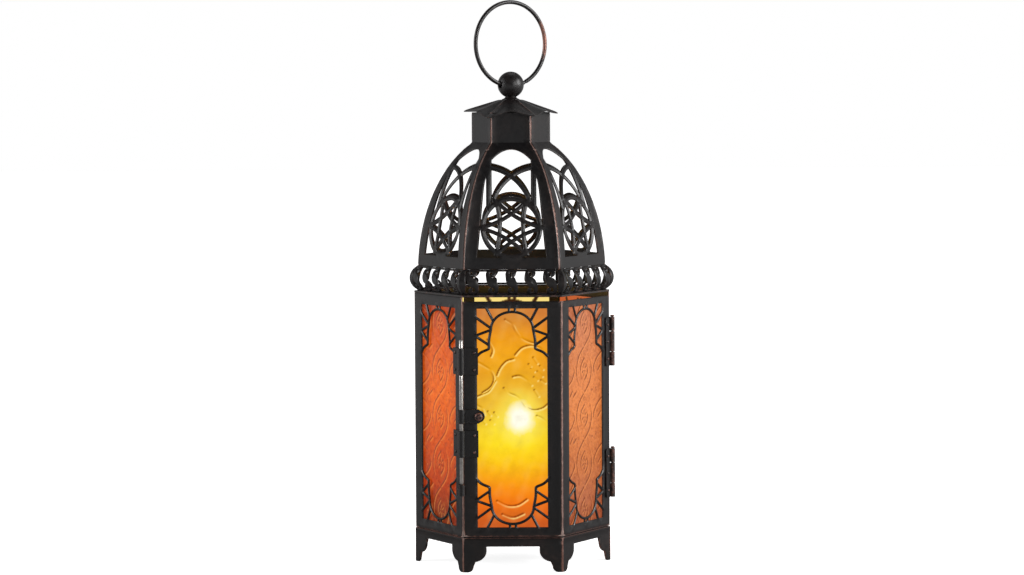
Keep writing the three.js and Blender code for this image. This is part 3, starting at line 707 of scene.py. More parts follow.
def windowBars():
    # x and the distance down from the opening's edge; one quarter is drawn, and ties join it to the frame
    arch, cusp = -(openingHalf - wall["archInset"]), -(openingHalf - wall["cuspInset"])
    names = ("spring", "crown", "shoulder", "flare", "cusp")
    spring, crown, shoulder, flare, cuspAt = (wall[name] for name in names)
    head = [(arch * math.cos(a), spring - (spring - crown) * math.sin(a))
            for a in np.radians(np.linspace(0, 90, 13))]
    foot = smoothLine([(-openingHalf - wall["bar"], flare + 1), (-openingHalf + 2.2, flare - 2.6),
                       (cusp - 0.6, cuspAt + 1.0), (cusp, cuspAt)], 4)
    neck = smoothLine([(cusp, cuspAt), (cusp + 0.1, cuspAt - 4.5), (arch, spring)], 4)
    left = foot + neck[1:] + head[1:]
    edge = -openingHalf - wall["bar"] / 2
    ties = [[(-1.7, crown), (-1.7, -1)], [(arch + 1.4, shoulder + 1.4), (arch - 2.9, -1)],
            [(arch, spring - 0.6), (edge, shoulder - 1)], [(arch, spring + 0.4), (edge, spring + 3.6)],
            [(cusp, cuspAt - 1.4), (edge, spring + 3.8)]]
    lines = []
    for upright in (1, -1):
        lines.append(quarterOf(left, 1, upright) + quarterOf(left, -1, upright)[::-1][1:])
        for sideways in (1, -1):
            lines += [quarterOf(tie, sideways, upright) for tie in ties]
    return lines


def wallPlace(x, z, d):
    return np.column_stack([x * (1 - d / wallFace), -(wallFace - d), z])


def makePanel(low, high, gaps):
    corner = wallFace * slant
    half = corner - seam["running"]
    lines = windowBars()
    left, right = gaps[0] - corner, corner - gaps[1]
    frameLine = [(left, low), (right, low), (right, high), (left, high)]
    sill, head = wall["sill"], wall["head"]
    hole = [(-openingHalf, sill), (openingHalf, sill), (openingHalf, head), (-openingHalf, head)]
    layers = [(True, frameLine), (False, hole)] + [(True, stripPoints(line, wall["bar"])) for line in lines]
    at, end = half - hem["sideIn"], half - hem["levelEnd"]
    hems = [[(s * at, low + hem["endIn"]), (s * at, high - hem["endIn"])] for s in (-1, 1)]
    hems += [[(-end, z), (end, z)] for z in (low + hem["levelIn"], high - hem["levelIn"])]
    p, f, w = sheetMetal(layers, wall["sheet"], wallPlace, chamfer=0.13, step=3.5, grid=4,
                         ridges=hems + lines, rise=hem["rise"])
    # the hem crests get extra wear: real rubbing, which also paints bright highlight lines along the hems
    onHem = np.abs(np.abs(p[:, 0]) - at) < hem["crest"]
    parts = [(p, f, np.where(onHem & (w > 0.35), hem["worn"], w))]
    back = wallFace - wall["sheet"]
    start, inside, outside = -back - grip["into"], -back + grip["inside"], -back + grip["outside"]
    edge = openingHalf + wall["lap"] + grip["clear"]
    wide, hook = edge + grip["sheet"], edge - grip["hook"]
    for side in (1, -1):   # a bent tab grips the pane at each side
        tab = [(edge, start), (wide, start), (wide, outside), (hook, outside), (hook, inside), (edge, inside)]
        tab = [(side * x, y) for x, y in tab]
        parts.append(sheetMetal([(True, tab)], grip["tabHigh"], plateUp(openingMiddle + grip["tabHigh"] / 2),
                                chamfer=0.12))
    shelf = sill - wall["lap"] - grip["clear"]
    lip, under = shelf + grip["shelfLip"], shelf - grip["sheet"]

    def across(y, z, d):
        return np.column_stack([grip["shelfWide"] / 2 - d, y, z])

    bent = [(start, shelf), (inside, shelf), (inside, lip), (outside, lip), (outside, under), (start, under)]
    parts.append(sheetMetal([(True, bent)], grip["shelfWide"], across, chamfer=0.12))
    return joined(*parts)


panelMade = {}
for i, where in enumerate(sides):
    node = ("door_panel_" if i < 2 else "wall_") + where
    gaps = (seam["running" if i in (0, 2) else "closed"], seam["running" if i in (1, 5) else "closed"])
    kind = (i < 2, gaps)
    if kind not in panelMade:
        panelMade[kind] = edgeWearAndHighlight(makePanel(*levels(node), gaps), lambda z: wall["corner"] / 2)
    p, f, w = turned(panelMade[kind], 60 * i)
    low = levels(node)[0]
    foot = rubbedFoot["worn"] * np.clip(1 - (p[:, 2] - low) / rubbedFoot["high"], 0, 1)
    addPiece(("doorPanel." if i < 2 else "wallPanel.") + where, (p, f, w + foot), [node])
print("walls made")


# Pressed panes: a fine grid, raised where the pattern is.
pane = {"thick": 2.2, "step": 0.55, "relief": 0.28, "front": 48.18, "rim": 0.8, "lineWidth": 0.38,
        "leafWidth": 0.36, "leafLift": 0.9, "faceShare": 0.6, "faceSink": 0.2, "backSlope": 0.7, "waves": 14,
        "slopeStep": 0.35, "slopeGain": 2.4}
paneKinds = {"front": {"seed": 3, "ripple": 0.05}, "side": {"seed": 5, "ripple": 0.1},
             "pale": {"seed": 8, "ripple": 0.12}}
scrolls = {
    "front": [   # pressed lines on the front pane, x and height
        [(-3.9, 145.0), (0.2, 142.2), (2.4, 138.2), (5.7, 134.2), (10.8, 131.8), (14.5, 131.4)],
        [(-8.6, 113.2), (-6.8, 117.2), (-3.4, 121.0), (0.8, 122.3)],
        [(-9.6, 109.8), (-13.2, 104.2), (-17.0, 102.2), (-20.5, 100.8)],
        [(-20.5, 121.0), (-16.2, 118.6), (-12.2, 115.8), (-10.4, 111.2), (-12.4, 106.4), (-17.0, 103.2)],
        [(1.8, 124.8), (5.8, 128.8), (11.6, 130.0), (16.8, 127.8), (20.2, 122.6), (21.5, 119.4)],
        [(0.4, 112.2), (4.2, 112.7), (8.2, 110.4), (11.0, 107.4)],
        [(-4.8, 105.8), (-2.0, 103.0), (2.0, 101.2), (5.2, 98.6), (8.4, 94.4), (12.4, 93.0), (17.4, 94.2),
         (20.6, 96.8)],
        [(14.0, 89.8), (17.2, 88.2), (20.4, 85.4)],
        [(-20.5, 96.0), (-17.2, 94.0), (-16.0, 90.6)],
        [(-14.0, 133.5), (-11.0, 128.0), (-12.0, 124.0)],
        [(-9.0, 41.0), (-3.0, 38.2), (3.0, 38.6), (8.0, 41.8)],
        [(-6.0, 33.4), (0.0, 31.4), (6.0, 33.6)],
    ],
    "leaves": [[(12.0, 123.2), (14.4, 119.8)], [(15.8, 118.4), (17.6, 116.4)], [(10.8, 117.2), (12.8, 115.2)],
               [(14.2, 115.2), (17.2, 112.4)], [(12.4, 112.0), (14.4, 110.2)], [(16.4, 110.2), (18.8, 108.6)],
               [(12.6, 104.6), (15.0, 101.0)], [(9.4, 119.4), (10.6, 118.0)], [(-14.0, 92.4), (-12.4, 90.2)],
               [(-10.4, 91.8), (-8.6, 89.6)], [(-12.6, 87.4), (-10.6, 85.4)], [(-17.0, 87.6), (-15.4, 85.4)]],
}


def diamondLines():
    # the side panes carry a column of long lozenges with a rosette in each
    lines, leaves = [], []
    for k in range(5):
        z = 33 + 27 * k
        for s in (1, -1):
            lines.append([(0, z - 13.5), (s * 6.5, z - 7.5), (s * 8.8, z), (s * 6.5, z + 7.5), (0, z + 13.5)])
            lines.append([(s * 20.5, z - 9), (s * 15, z - 5.5), (s * 11.5, z), (s * 15, z + 5.5),
                          (s * 20.5, z + 9)])
            lines.append([(0, z - 6.5), (s * 3.2, z - 3.2), (s * 4.2, z), (s * 3.2, z + 3.2), (0, z + 6.5)])
        for a in np.radians(np.arange(6) * 60 + 30):
            leaves.append([(1.0 * math.cos(a), z + 1.3 * math.sin(a)),
                           (2.6 * math.cos(a), z + 3.4 * math.sin(a))])
        for s in (1, -1):
            leaves += [[(s * 16.5, z - 1.4), (s * 19.5, z + 1.2)],
                       [(s * 12.4, z + 12.4), (s * 9.6, z + 14.6)],
                       [(s * 16.4, z + 12.6), (s * 14.0, z + 15.4)]]
    return lines, leaves


def reliefOf(x, z, lines, leaves, seed, ripple):
    # height from 0 to 1 of the pressed pattern, and its slope towards the upper left
    def height(px, pz):
        h = np.zeros(px.shape)
        for group, width, lift in ((lines, pane["lineWidth"], 1.0),
                                   (leaves, pane["leafWidth"], pane["leafLift"])):
            for line in group:
                curve = smoothLine(line, 5) if len(line) > 2 else line
                for (ax, az), (bx, bz) in zip(curve, curve[1:]):
                    near = (px > min(ax, bx) - 2) & (px < max(ax, bx) + 2)
                    near &= (pz > min(az, bz) - 2) & (pz < max(az, bz) + 2)
                    if not near.any():
                        continue
                    rx, rz = bx - ax, bz - az
                    t = np.clip(((px[near] - ax) * rx + (pz[near] - az) * rz) / (rx * rx + rz * rz), 0, 1)
                    gap2 = (px[near] - ax - t * rx) ** 2 + (pz[near] - az - t * rz) ** 2
                    h[near] = np.maximum(h[near], lift * np.exp(-gap2 / (2 * width ** 2)))
        for k in range(pane["waves"]):   # the slow unevenness of pressed glass
            a = random.uniform(0, math.pi)
            f = random.uniform(0.25, 1.4)
            h += ripple / (1 + f) * np.sin((px * math.cos(a) + pz * math.sin(a)) * f
                                           + random.uniform(0, 6.28))
        return h

    random = np.random.default_rng(seed)
    base = height(x, z)
    random = np.random.default_rng(seed)
    shifted = height(x - pane["slopeStep"], z + pane["slopeStep"])
    return base, np.clip((shifted - base) * pane["slopeGain"], -1, 1)


def makePane(which):
    p = pane
    low, high = levels("pane_back")
    half = openingHalf + wall["lap"]
    lines, leaves = (scrolls["front"], scrolls["leaves"]) if which == "front" else diamondLines()
    xs = np.linspace(-half, half, round(2 * half / p["step"]) + 1)
    zs = np.linspace(low, high, round((high - low) / p["step"]) + 1)
    gx, gz = np.meshgrid(xs, zs)
    base, slope = reliefOf(gx, gz, lines, leaves, **paneKinds[which])
    rim = np.clip(np.minimum(half - np.abs(gx), np.minimum(gz - low, high - gz)) / p["rim"], 0, 1)
    top = p["relief"] * np.clip(base, -0.3, 1) * rim
    rows, cols = gx.shape
    n = rows * cols
    flatAt = np.column_stack([gx.ravel(), gz.ravel()])
    front = np.column_stack([flatAt[:, 0], np.full(n, -p["front"]) - (top * p["faceShare"]).ravel()
                             + p["faceSink"], flatAt[:, 1]])
    back = np.column_stack([flatAt[:, 0], np.full(n, -p["front"] + p["thick"]), flatAt[:, 1]])
    index = np.arange(n).reshape(rows, cols)
    edge = np.concatenate([index[0], index[1:, -1], index[-1, -2::-1], index[-2:0:-1, 0]]).tolist()
    quads = np.stack([index[:-1, :-1], index[:-1, 1:], index[1:, 1:], index[1:, :-1]], -1).reshape(-1, 4)
    faces = quads.tolist() + (quads[:, ::-1] + n).tolist()
    faces += [[b, a, n + a, n + b] for a, b in zip(edge, edge[1:] + edge[:1])]
    barShadowMask = np.zeros(n)
    for reach in (0.0, 0.5, 1.0):   # painted shadow: the bars outside are painted softly onto the glass from inside
        for line in windowBars():
            covered = insidePolygon(flatAt, stripPoints(line, wall["bar"] + reach))
            barShadowMask = np.maximum(barShadowMask, covered * (1 - 0.3 * reach))
    # the slope is kept for the glass material, which paints shade and highlight from it
    where = np.vstack([np.column_stack([flatAt, share * slope.ravel()]) for share in (1.0, p["backSlope"])])
    known = {"paneAt": where, "inward": np.repeat([0.0, 1.0], n), "barShade": np.tile(barShadowMask, 2)}
    return (np.vstack([front, back]), faces, np.zeros(2 * n)), known


paneMade = {which: makePane(which) for which in paneKinds}
paneLook = {"front": "amber_glass", "pale": "pale_glass", "side": "red_glass"}
for i, where in enumerate(sides):
    node = ("door_pane_" if i < 2 else "pane_") + where
    which = ("front", "pale", "pale", "side", "side", "side")[i]
    part, known = paneMade[which]
    addPiece("pane." + where, turned(part, 60 * i), [node], look=paneLook[which], extra=known, sharp=60)
print("panes made")


def hexagon(corner):
    return [(corner * math.cos(a), corner * math.sin(a)) for a in np.radians(np.arange(6) * 60)]


def rivetHead(radius, high):
    # a domed head standing on z = 0
    steps = np.radians(np.linspace(0, 90, 6))
    profile = [(0, -0.3, 0.4), (radius, -0.3, 0.4)]
    profile += [(radius * math.cos(a) ** 0.8, high * math.sin(a), 0.6 + 0.4 * math.sin(a))
                for a in steps[:-1]]
    profile.append((0, high, 1.0))
    return lathe(profile, 20)


def moved(part, origin, right, up, out):
    # local x, y, z run along right, up and out
    axes = np.array([right, up, out], float)
    return part[0] @ axes + np.array(origin, float), part[1], part[2]


topFrame = {"width": 5, "deeper": 0.4, "lift": 0.14}   # a little thicker than in CAD
low, high = levels("top_frame")
frameLayers = [(True, hexagon(wallFace / flat)), (False, hexagon((wallFace - topFrame["width"]) / flat))]
framePart = sheetMetal(frameLayers, high - low + topFrame["deeper"], plateUp(high + topFrame["lift"]), step=4)
addPiece("topFrame", framePart, ["top_frame"])

# The openwork bead, and the dome that stands on its upper edge: lace is the dome's lattice.
bead = {"corner": 60.1, "units": 5, "end": 2.05, "rim": 1.35, "bar": 2.4, "waist": 3.2, "eye": 0.85,
        "eyeOff": 0.55, "eyeAt": 5.5, "sheet": 0.8, "rise": 0.3, "plate": 3.6, "lineIn": 0.6}
dome = {"corner": 54.7, "rise": 82.7, "sink": 4.4, "neckCorner": 22.8, "sheet": 0.8, "fillet": 2.2,
        "ribFoot": 7.1, "ribHip": 5.6, "ribSpring": 5.0, "sill": 6.4, "brow": 3.0, "headHeight": 6.0,
        "hipDrop": 14.6, "ribWide": 3.4, "ribWorn": 0.66}
lace = {"bar": 2.3, "ringBar": 2.7, "ringLap": 0.9, "ringSink": 0.9, "arcEnd": 18.4, "arcNear": 6.7,
        "postBar": 2.8, "arcRadius": 29.1, "arcDrop": 33.2, "rise": 0.4}
domeFace = dome["corner"] * flat


def makeBead():
    b = bead
    low, high = levels("bead_front")
    middle, halfHigh = (low + high) / 2, (high - low) / 2
    face = b["corner"] * flat - b["rise"] - 0.03
    swell = face - domeFace
    radius = (halfHigh ** 2 + swell ** 2) / (2 * swell)
    half = radius * math.asin(halfHigh / radius) + 0.14

    def place(x, v, d):
        out = face - radius + (radius - d) * np.cos(v / radius)
        straight = face - radius + radius * np.cos(v / radius)
        return np.column_stack([x * out / straight, -out, middle + (radius - d) * np.sin(v / radius)])

    def edgeAt(v):
        return (face - radius + radius * math.cos(v / radius)) * slant - 0.04

    vs = np.linspace(-half, half, 17)
    outline = [(-edgeAt(v), v) for v in vs[::-1]] + [(edgeAt(v), v) for v in vs]
    layers = [(True, outline)]
    pitch = (b["corner"] - 2 * b["end"]) / b["units"]
    reach = half - b["rim"]
    lineAt = half - b["lineIn"]
    ridges = [[(-edgeAt(s * lineAt) + 1, s * lineAt), (edgeAt(s * lineAt) - 1, s * lineAt)] for s in (1, -1)]
    wide = b["corner"] / 2 - b["plate"]
    layers.append((False, [(-wide, -reach), (wide, -reach), (wide, reach), (-wide, reach)]))
    for i in range(b["units"]):
        x = (i - (b["units"] - 1) / 2) * pitch
        upper = [(-0.1, 4.2), (1.0, 4.7), (1.2, 6.3), (-0.4, 7.3), (-2.1, 6.3), (-2.4, 4.3), (-1.7, 2.1),
                 (0, 0)]
        scroll = smoothLine([(x + u, v) for u, v in upper] + [(x - u, -v) for u, v in upper[-2::-1]], 4)
        widths = [b["bar"] + b["waist"] * math.exp(-(v / 2.2) ** 2) for _, v in scroll]
        layers.append((True, stripPoints(scroll, widths)))
        for sign in (1, -1):   # an eye in each curl
            layers.append((False, ringPoints(x - sign * b["eyeOff"], sign * b["eyeAt"], b["eye"], 14)))
        ridges.append(scroll)
    return sheetMetal(layers, b["sheet"], place, chamfer=0.15, step=1.3, grid=1.5, ridges=ridges,
                      rise=b["rise"])


beadPart = makeBead()
for i, where in enumerate(sides):
    addPiece("bead." + where, turned(beadPart, 60 * i), ["bead_" + where], sharp=34)
print("bead made")


def domeShape():
    foot, top = levels("dome_gore_front")
    centre = foot - dome["sink"]
    neckAt = centre + dome["rise"] * math.sqrt(1 - (dome["neckCorner"] / dome["corner"]) ** 2)
    return foot, top, centre, neckAt


domeFoot, neckTop, domeCentre, neckAt = domeShape()
neckFace = dome["neckCorner"] * flat


def apothem(z):
    z = np.asarray(z, float)
    swept = domeFace * np.sqrt(np.clip(1 - ((z - domeCentre) / dome["rise"]) ** 2, 0, 1))
    k = dome["fillet"]
    h = np.clip(0.5 + 0.5 * (swept - neckFace) / k, 0, 1)
    return neckFace * (1 - h) + swept * h + k * h * (1 - h) * 0.5


def domePlace(x, z, d):
    a = apothem(z)
    slope = (apothem(z + 0.05) - apothem(z - 0.05)) / 0.1
    long = np.sqrt(1 + slope ** 2)
    out = a - d / long
    return np.column_stack([x * out / a, -out, z + d * slope / long])


def goreHalf(z):
    return (dome["corner"] / 2) * math.sqrt(1 - ((z - domeCentre) / dome["rise"]) ** 2)


def makeGore():
    bottom, top = domeFoot + dome["sill"], neckAt - dome["brow"]
    spring = top - dome["headHeight"]
    hip = spring - dome["hipDrop"]
    ribs = (bottom, "ribFoot"), (hip, "ribHip"), (spring, "ribSpring")
    bottomHalf, hipHalf, springHalf = (goreHalf(z) - dome[rib] for z, rib in ribs)
    zs = np.linspace(domeFoot - 0.28, neckTop - 0.2, 60)   # stands on the bead
    edge = apothem(zs) * slant - 0.04
    layers = [(True, [(-x, z) for x, z in zip(edge[::-1], zs[::-1])] + [(x, z) for x, z in zip(edge, zs)])]
    t = np.linspace(0, 1, 14)[:, None]
    ends = [np.array(p) for p in ([-springHalf, spring], [-springHalf / 2, top], [0, top])]
    head = ((1 - t) ** 2 * ends[0] + 2 * t * (1 - t) * ends[1] + t ** 2 * ends[2]).tolist()
    between = (-(bottomHalf + hipHalf) / 2 - 0.15, (bottom + hip) / 2)
    flank = smoothLine([(-bottomHalf, bottom), between, (-hipHalf, hip), (-springHalf, spring)], 8)
    left = flank + [tuple(p) for p in head[1:]]
    fieldLine = left + mirrored(left[:-1])
    layers.append((False, fieldLine))
    s = lace
    lean = (bottomHalf - hipHalf) / (hip - bottom)
    outward = bottomHalf - (s["ringBar"] - s["ringLap"])
    radius = (outward + lean * (s["ringSink"] - s["ringBar"] / 2)) / (1 + lean)
    middle = bottom + radius + s["ringBar"] / 2 - s["ringSink"]
    bars, ridges = [], []

    def bar(line, width):
        bars.append((True, stripPoints(line, width)))
        ridges.append(line)

    post = springHalf + 0.3 + s["postBar"] / 2
    foot = middle + math.sqrt(radius ** 2 - post ** 2)
    arcX, arcZ = post - s["postBar"] / 2 + s["bar"] / 4 - s["arcRadius"], spring - s["arcDrop"]
    ringHole = (False, ringPoints(0, middle, radius - s["ringBar"] / 2, 72))
    inside = [(True, ringPoints(0, middle, radius + s["ringBar"] / 2, 72)), ringHole]
    ridges.append(arcPoints(0, middle, radius, radius, 0, 360, 72))
    for side in (1, -1):
        line = [(x * side, z) for x, z in arcPoints(arcX, arcZ, s["arcRadius"], s["arcRadius"], 86, 18, 20)]
        bar(line, s["bar"])
        bar([(side * post, foot), (side * post, top)], s["postBar"])
    petals = []
    for k in range(6):   # six arcs bow towards the middle and leave a star between them
        a = math.radians(60 * k)
        r1, r2 = s["arcEnd"], s["arcNear"]
        chordAt, half = r1 / 2, r1 * math.sqrt(3) / 2
        bow = chordAt - r2
        bend = (half ** 2 + bow ** 2) / (2 * bow)
        far = r2 + bend
        swing = math.degrees(math.asin(half / bend))
        turn = math.degrees(a) + 180
        x, z = far * math.cos(a), middle + far * math.sin(a)
        petals.append(arcPoints(x, z, bend, bend, turn - swing, turn + swing, 28))
    for line in petals:
        inside.append((True, stripPoints(line, s["bar"])))
        ridges.append(line)
    layers += bars + [ringHole] + inside
    zs = np.linspace(domeFoot + 1, neckTop - 1.5, 60)
    crease = [[(sx * (apothem(z) * slant - 0.9), z) for z in zs] for sx in (1, -1)]
    return sheetMetal(layers, dome["sheet"], domePlace, chamfer=0.15, step=1.5, grid=2.2,
                      ridges=ridges + crease, rise=s["rise"])


p, f, w = edgeWearAndHighlight(makeGore(), lambda z: apothem(z) * slant, 0.5)
onRib = apothem(p[:, 2]) * slant - np.abs(p[:, 0]) < dome["ribWide"]
gorePart = (p, f, np.where(onRib, np.maximum(w, dome["ribWorn"]), w))
for i, where in enumerate(sides):
    addPiece("domeGore." + where, turned(gorePart, 60 * i), ["dome_gore_" + where], sharp=34)
print("dome made", len(gorePart[1]))


# Roof cap, its thin corners bent by droop, then the ball and the ring through it.
cap = {"corner": 27.3, "flat": 6.2, "drop": 6.2, "droop": [1.4, 1.6, 1.6, 0.1, 3.6, 2.6], "sag": 0.5,
       "fold": 0.75, "foldReach": 1.6, "sheet": 0.8, "hole": 2.2, "lip": 0.14}


def makeCap():
    c = cap
    top = levels("roof_cap")[1]
    around, steps = 120, 22
    radii = [c["hole"], 3.4, 4.8] + list(np.linspace(c["flat"], c["corner"], steps))
    points, wear, faces = [], [], []
    for under in (0, 1):
        for k, r in enumerate(radii):
            for j in range(around):
                a = 2 * math.pi * j / around
                share = max(0, (r - c["flat"]) / (c["corner"] - c["flat"]))
                off = (a % (math.pi / 3)) - math.pi / 6
                squeeze = 1 + (flat / math.cos(off) - 1) * min(1, 2 * share)
                cornerward = (1 + math.cos(6 * a)) / 2
                droop = c["droop"][round(a / (math.pi / 3)) % 6]   # the thin corners have been bent a little
                z = top - c["drop"] * share - cornerward * droop * share - c["sag"] * 4 * share * (1 - share)
                near = max(0, 1 - abs(abs(off) - math.pi / 6) * r * squeeze / c["foldReach"])
                fold = c["fold"] * near * math.sin(math.pi * min(1, share * 1.02)) ** 0.5
                lip = c["lip"] if r == c["corner"] else 0
                z += fold - under * c["sheet"] + (lip if under else -lip)
                points.append((r * squeeze * math.cos(a), r * squeeze * math.sin(a), z))
                # the fold crests and the eave rim get high wear: real rubbing, which also paints the bright
                # ridge highlights
                rubbed = 0.95 if share > 0.985 else 0.12 + 0.25 * share
                wear.append(0.1 if under else min(1, rubbed + 0.95 * fold / c["fold"]))
    rows = len(radii)
    for k in range(rows - 1):
        for j in range(around):
            jj = (j + 1) % around
            a, b, cc, d = k * around + j, (k + 1) * around + j, (k + 1) * around + jj, k * around + jj
            faces.append([a, b, cc, d])
            low = rows * around
            faces.append([low + d, low + cc, low + b, low + a])
    for j in range(around):
        jj, low = (j + 1) % around, rows * around
        outer = (rows - 1) * around
        faces.append([outer + jj, outer + j, low + outer + j, low + outer + jj][::-1])
        faces.append([j, jj, low + jj, low + j])
    return np.array(points), faces, np.array(wear)


addPiece("roofCap", makeCap(), ["roof_cap"], sharp=30)

ring = {"radius": 24.25, "wire": 1.19, "slack": 0.6, "turn": 34, "jointAt": -66, "joint": 0.5, "jointIn": 0.2,
        "holeMore": 0.85, "steps": 180, "around": 18}
ball = {"radius": 7.65, "stem": 3.2, "flare": 5.2, "shank": 1.9, "middle": levels("finial_ball")[1] - 7.65,
        "seat": levels("roof_cap")[1] + 0.05}


def makeBall():
    b = ball
    low = levels("finial_ball")[0]
    foot = -90 + math.degrees(math.asin(b["stem"] / b["radius"]))
    profile = [(0, low, 0), (b["shank"] - 0.3, low, 0), (b["shank"], low + 0.3, 0),
               (b["shank"], b["seat"], 0), (b["flare"], b["seat"], 0.5),
               (b["flare"] - 0.1, b["seat"] + 0.25, 0.6), (b["stem"] + 1.0, b["seat"] + 0.6, 0.3),
               (b["stem"] + 0.35, b["seat"] + 1.0, 0.2)]
    globe = arcPoints(0, b["middle"], b["radius"], b["radius"], foot, 90, 30)[:-1]
    profile += [(x, z, 0.25) for x, z in globe] + [(0, b["middle"] + b["radius"], 0.3)]
    return lathe(profile, 72)


def drilled(piece, radius, middle, turn):
    far = 20
    cutter = lathe([(0, -far, 0), (radius, -far, 0), (radius, far, 0), (0, far, 0)], 40)
    a = math.radians(turn)
    cutter = moved(cutter, (0, 0, middle), (-math.sin(a), math.cos(a), 0), (0, 0, 1),
                   (math.cos(a), math.sin(a), 0))
    borer = putIn("borer", newMesh("borer", cutter[0], cutter[1]))
    cut = piece.modifiers.new("bore", "BOOLEAN")
    cut.operation, cut.solver, cut.object = "DIFFERENCE", "EXACT", borer
    bpy.context.view_layer.update()
    mesh = bpy.data.meshes.new_from_object(piece.evaluated_get(bpy.context.evaluated_depsgraph_get()))
    piece.modifiers.clear()
    mesh.name = piece.name
    smoothed(mesh, 35)
    piece.data = mesh
    bpy.data.objects.remove(borer)


finialBall = addPiece("finialBall", makeBall(), ["finial_ball"])
drilled(finialBall, ring["wire"] + ring["holeMore"], ball["middle"], ring["turn"])


def makeRing():
    r = ring
    centre = ball["middle"] + r["radius"] - r["slack"]
    a = np.radians(np.linspace(r["jointAt"] + r["joint"], r["jointAt"] + 360 - r["joint"], r["steps"]))
    t = math.radians(r["turn"])
    path = np.column_stack([r["radius"] * np.cos(a) * math.cos(t), r["radius"] * np.cos(a) * math.sin(t),
                            centre + r["radius"] * np.sin(a)])
    radii = np.full(r["steps"], r["wire"])
    radii[[0, -1]] = r["wire"] - r["jointIn"]
    points, faces, _ = tube(path, radii, r["around"])
    # the right-hand side gets the most wear: real rubbing, and a painted highlight on the side the light
    # falls on
    wear = np.repeat(0.2 + 0.8 * np.clip(np.cos(a - 0.1), 0, 1) ** 3, r["around"])
    return points, faces, wear


addPiece("hangRing", makeRing(), ["hang_ring"], sharp=50)
washer = {"hole": 2.2, "flat": 4.2, "radius": 4.4, "edge": 0.15}
nut = {"apothem": 3.3, "hole": 2.2}
low, high = levels("finial_washer")
hole, level, wide, edge = washer.values()
washerProfile = [(hole, low, 0.2), (level, low, 0.4), (wide, low + edge, 0.8), (wide, high - edge, 0.8),
                 (level, high, 0.4), (hole, high, 0.2)]
addPiece("finialWasher", lathe(washerProfile, 40), ["finial_washer"])
low, high = levels("finial_nut")
nutLayers = [(True, hexagon(nut["apothem"] / flat)), (False, ringPoints(0, 0, nut["hole"], 24))]
nutPart = sheetMetal(nutLayers, high - low, plateUp(high), chamfer=0.3, step=1.5, grid=1.6)
addPiece("finialNut", nutPart, ["finial_nut"])
print("roof and ring made")


# Hinges. Leaves, straps and handle lie on the walls' raised bands, so proud of the wall by that much.
proud = hem["rise"]
hinge = {"barrel": 1.4, "bore": 0.95, "pin": 0.7, "leaf": 0.7, "width": 5.6, "middle": 12.0, "axis": 58.6,
         "rivet": 1.0, "rivetHigh": 0.55, "rivetAt": 3.7, "rivetIn": 4.2, "near": 1.55, "clip": 0.8,
         "gap": 0.15}


def makeLeaf(node, side):
    h = hinge
    z0, z1 = levels(node if side > 0 else node.replace("door", "frame"))
    centre = (z0 + z1) / 2
    m0, m1 = centre - h["middle"] / 2, centre + h["middle"] / 2
    along = np.array([-0.5, side * flat, 0])
    out = np.array([flat, side * 0.5, 0])
    corner = np.array([wall["corner"], 0, 0])

    def place(s, z, d):
        return corner + np.outer(s, along) + np.outer(proud + h["leaf"] - d, out) + np.outer(z, [0, 0, 1])

    def flipped(s, z, d):
        return place(-s, z, d)

    near, wide, clip = h["near"], h["width"], h["clip"]
    spans = [(m0 + h["gap"], m1 - h["gap"])] if side < 0 else [(z0, m0 - h["gap"]), (m1 + h["gap"], z1)]
    plate = [(near, z0), (wide - clip, z0), (wide, z0 + clip), (wide, z1 - clip), (wide - clip, z1),
             (near, z1)]
    tongues = [[(-0.2, a), (near + 0.1, a), (near + 0.1, b), (-0.2, b)] for a, b in spans]
    layers = [(True, outline) for outline in (plate, *tongues)]
    if side < 0:   # seen from outside, along runs to the left on the door leaf
        layers = [(lays, [(-s, z) for s, z in poly[::-1]]) for lays, poly in layers]
    parts = [sheetMetal(layers, h["leaf"], flipped if side < 0 else place, chamfer=0.12, step=3, grid=3)]
    bore, barrel = h["bore"], h["barrel"]
    for a, b in spans:
        parts.append(lathe([(bore, a, 0.3), (barrel - 0.12, a, 0.8), (barrel, a + 0.12, 1),
                            (barrel, b - 0.12, 1),
                            (barrel - 0.12, b, 0.8), (bore, b, 0.3)], 28, h["axis"], 0))
    for z in (z0 + h["rivetIn"], centre, z1 - h["rivetIn"]):
        spot = corner + along * h["rivetAt"] + out * (proud + h["leaf"]) + np.array([0, 0, z])
        parts.append(moved(rivetHead(h["rivet"], h["rivetHigh"]), spot, along, (0, 0, 1), out))
    return joined(*parts)


for where in ("lower", "upper"):
    for which, side in (("door", -1), ("frame", 1)):
        node = f"hinge_leaf_{which}_{where}"
        addPiece(f"hingeLeaf.{which}.{where}", makeLeaf(node, side), [node])
    low, high = levels("hinge_pin_" + where)
    top = high - 1
    pin, head = hinge["pin"], hinge["barrel"]
    pinProfile = [(0, low, 0.3), (pin - 0.15, low, 0.6), (pin, low + 0.15, 0.6), (pin, top, 0.3),
                  (head - 0.1, top, 0.6), (head, top + 0.2, 1), (head * 0.86, top + 0.62, 1),
                  (head * 0.5, top + 0.92, 0.9), (0, high, 0.8)]
    addPiece("hingePin." + where, lathe(pinProfile, 28, hinge["axis"], 0), ["hinge_pin_" + where])
print("hinges made")


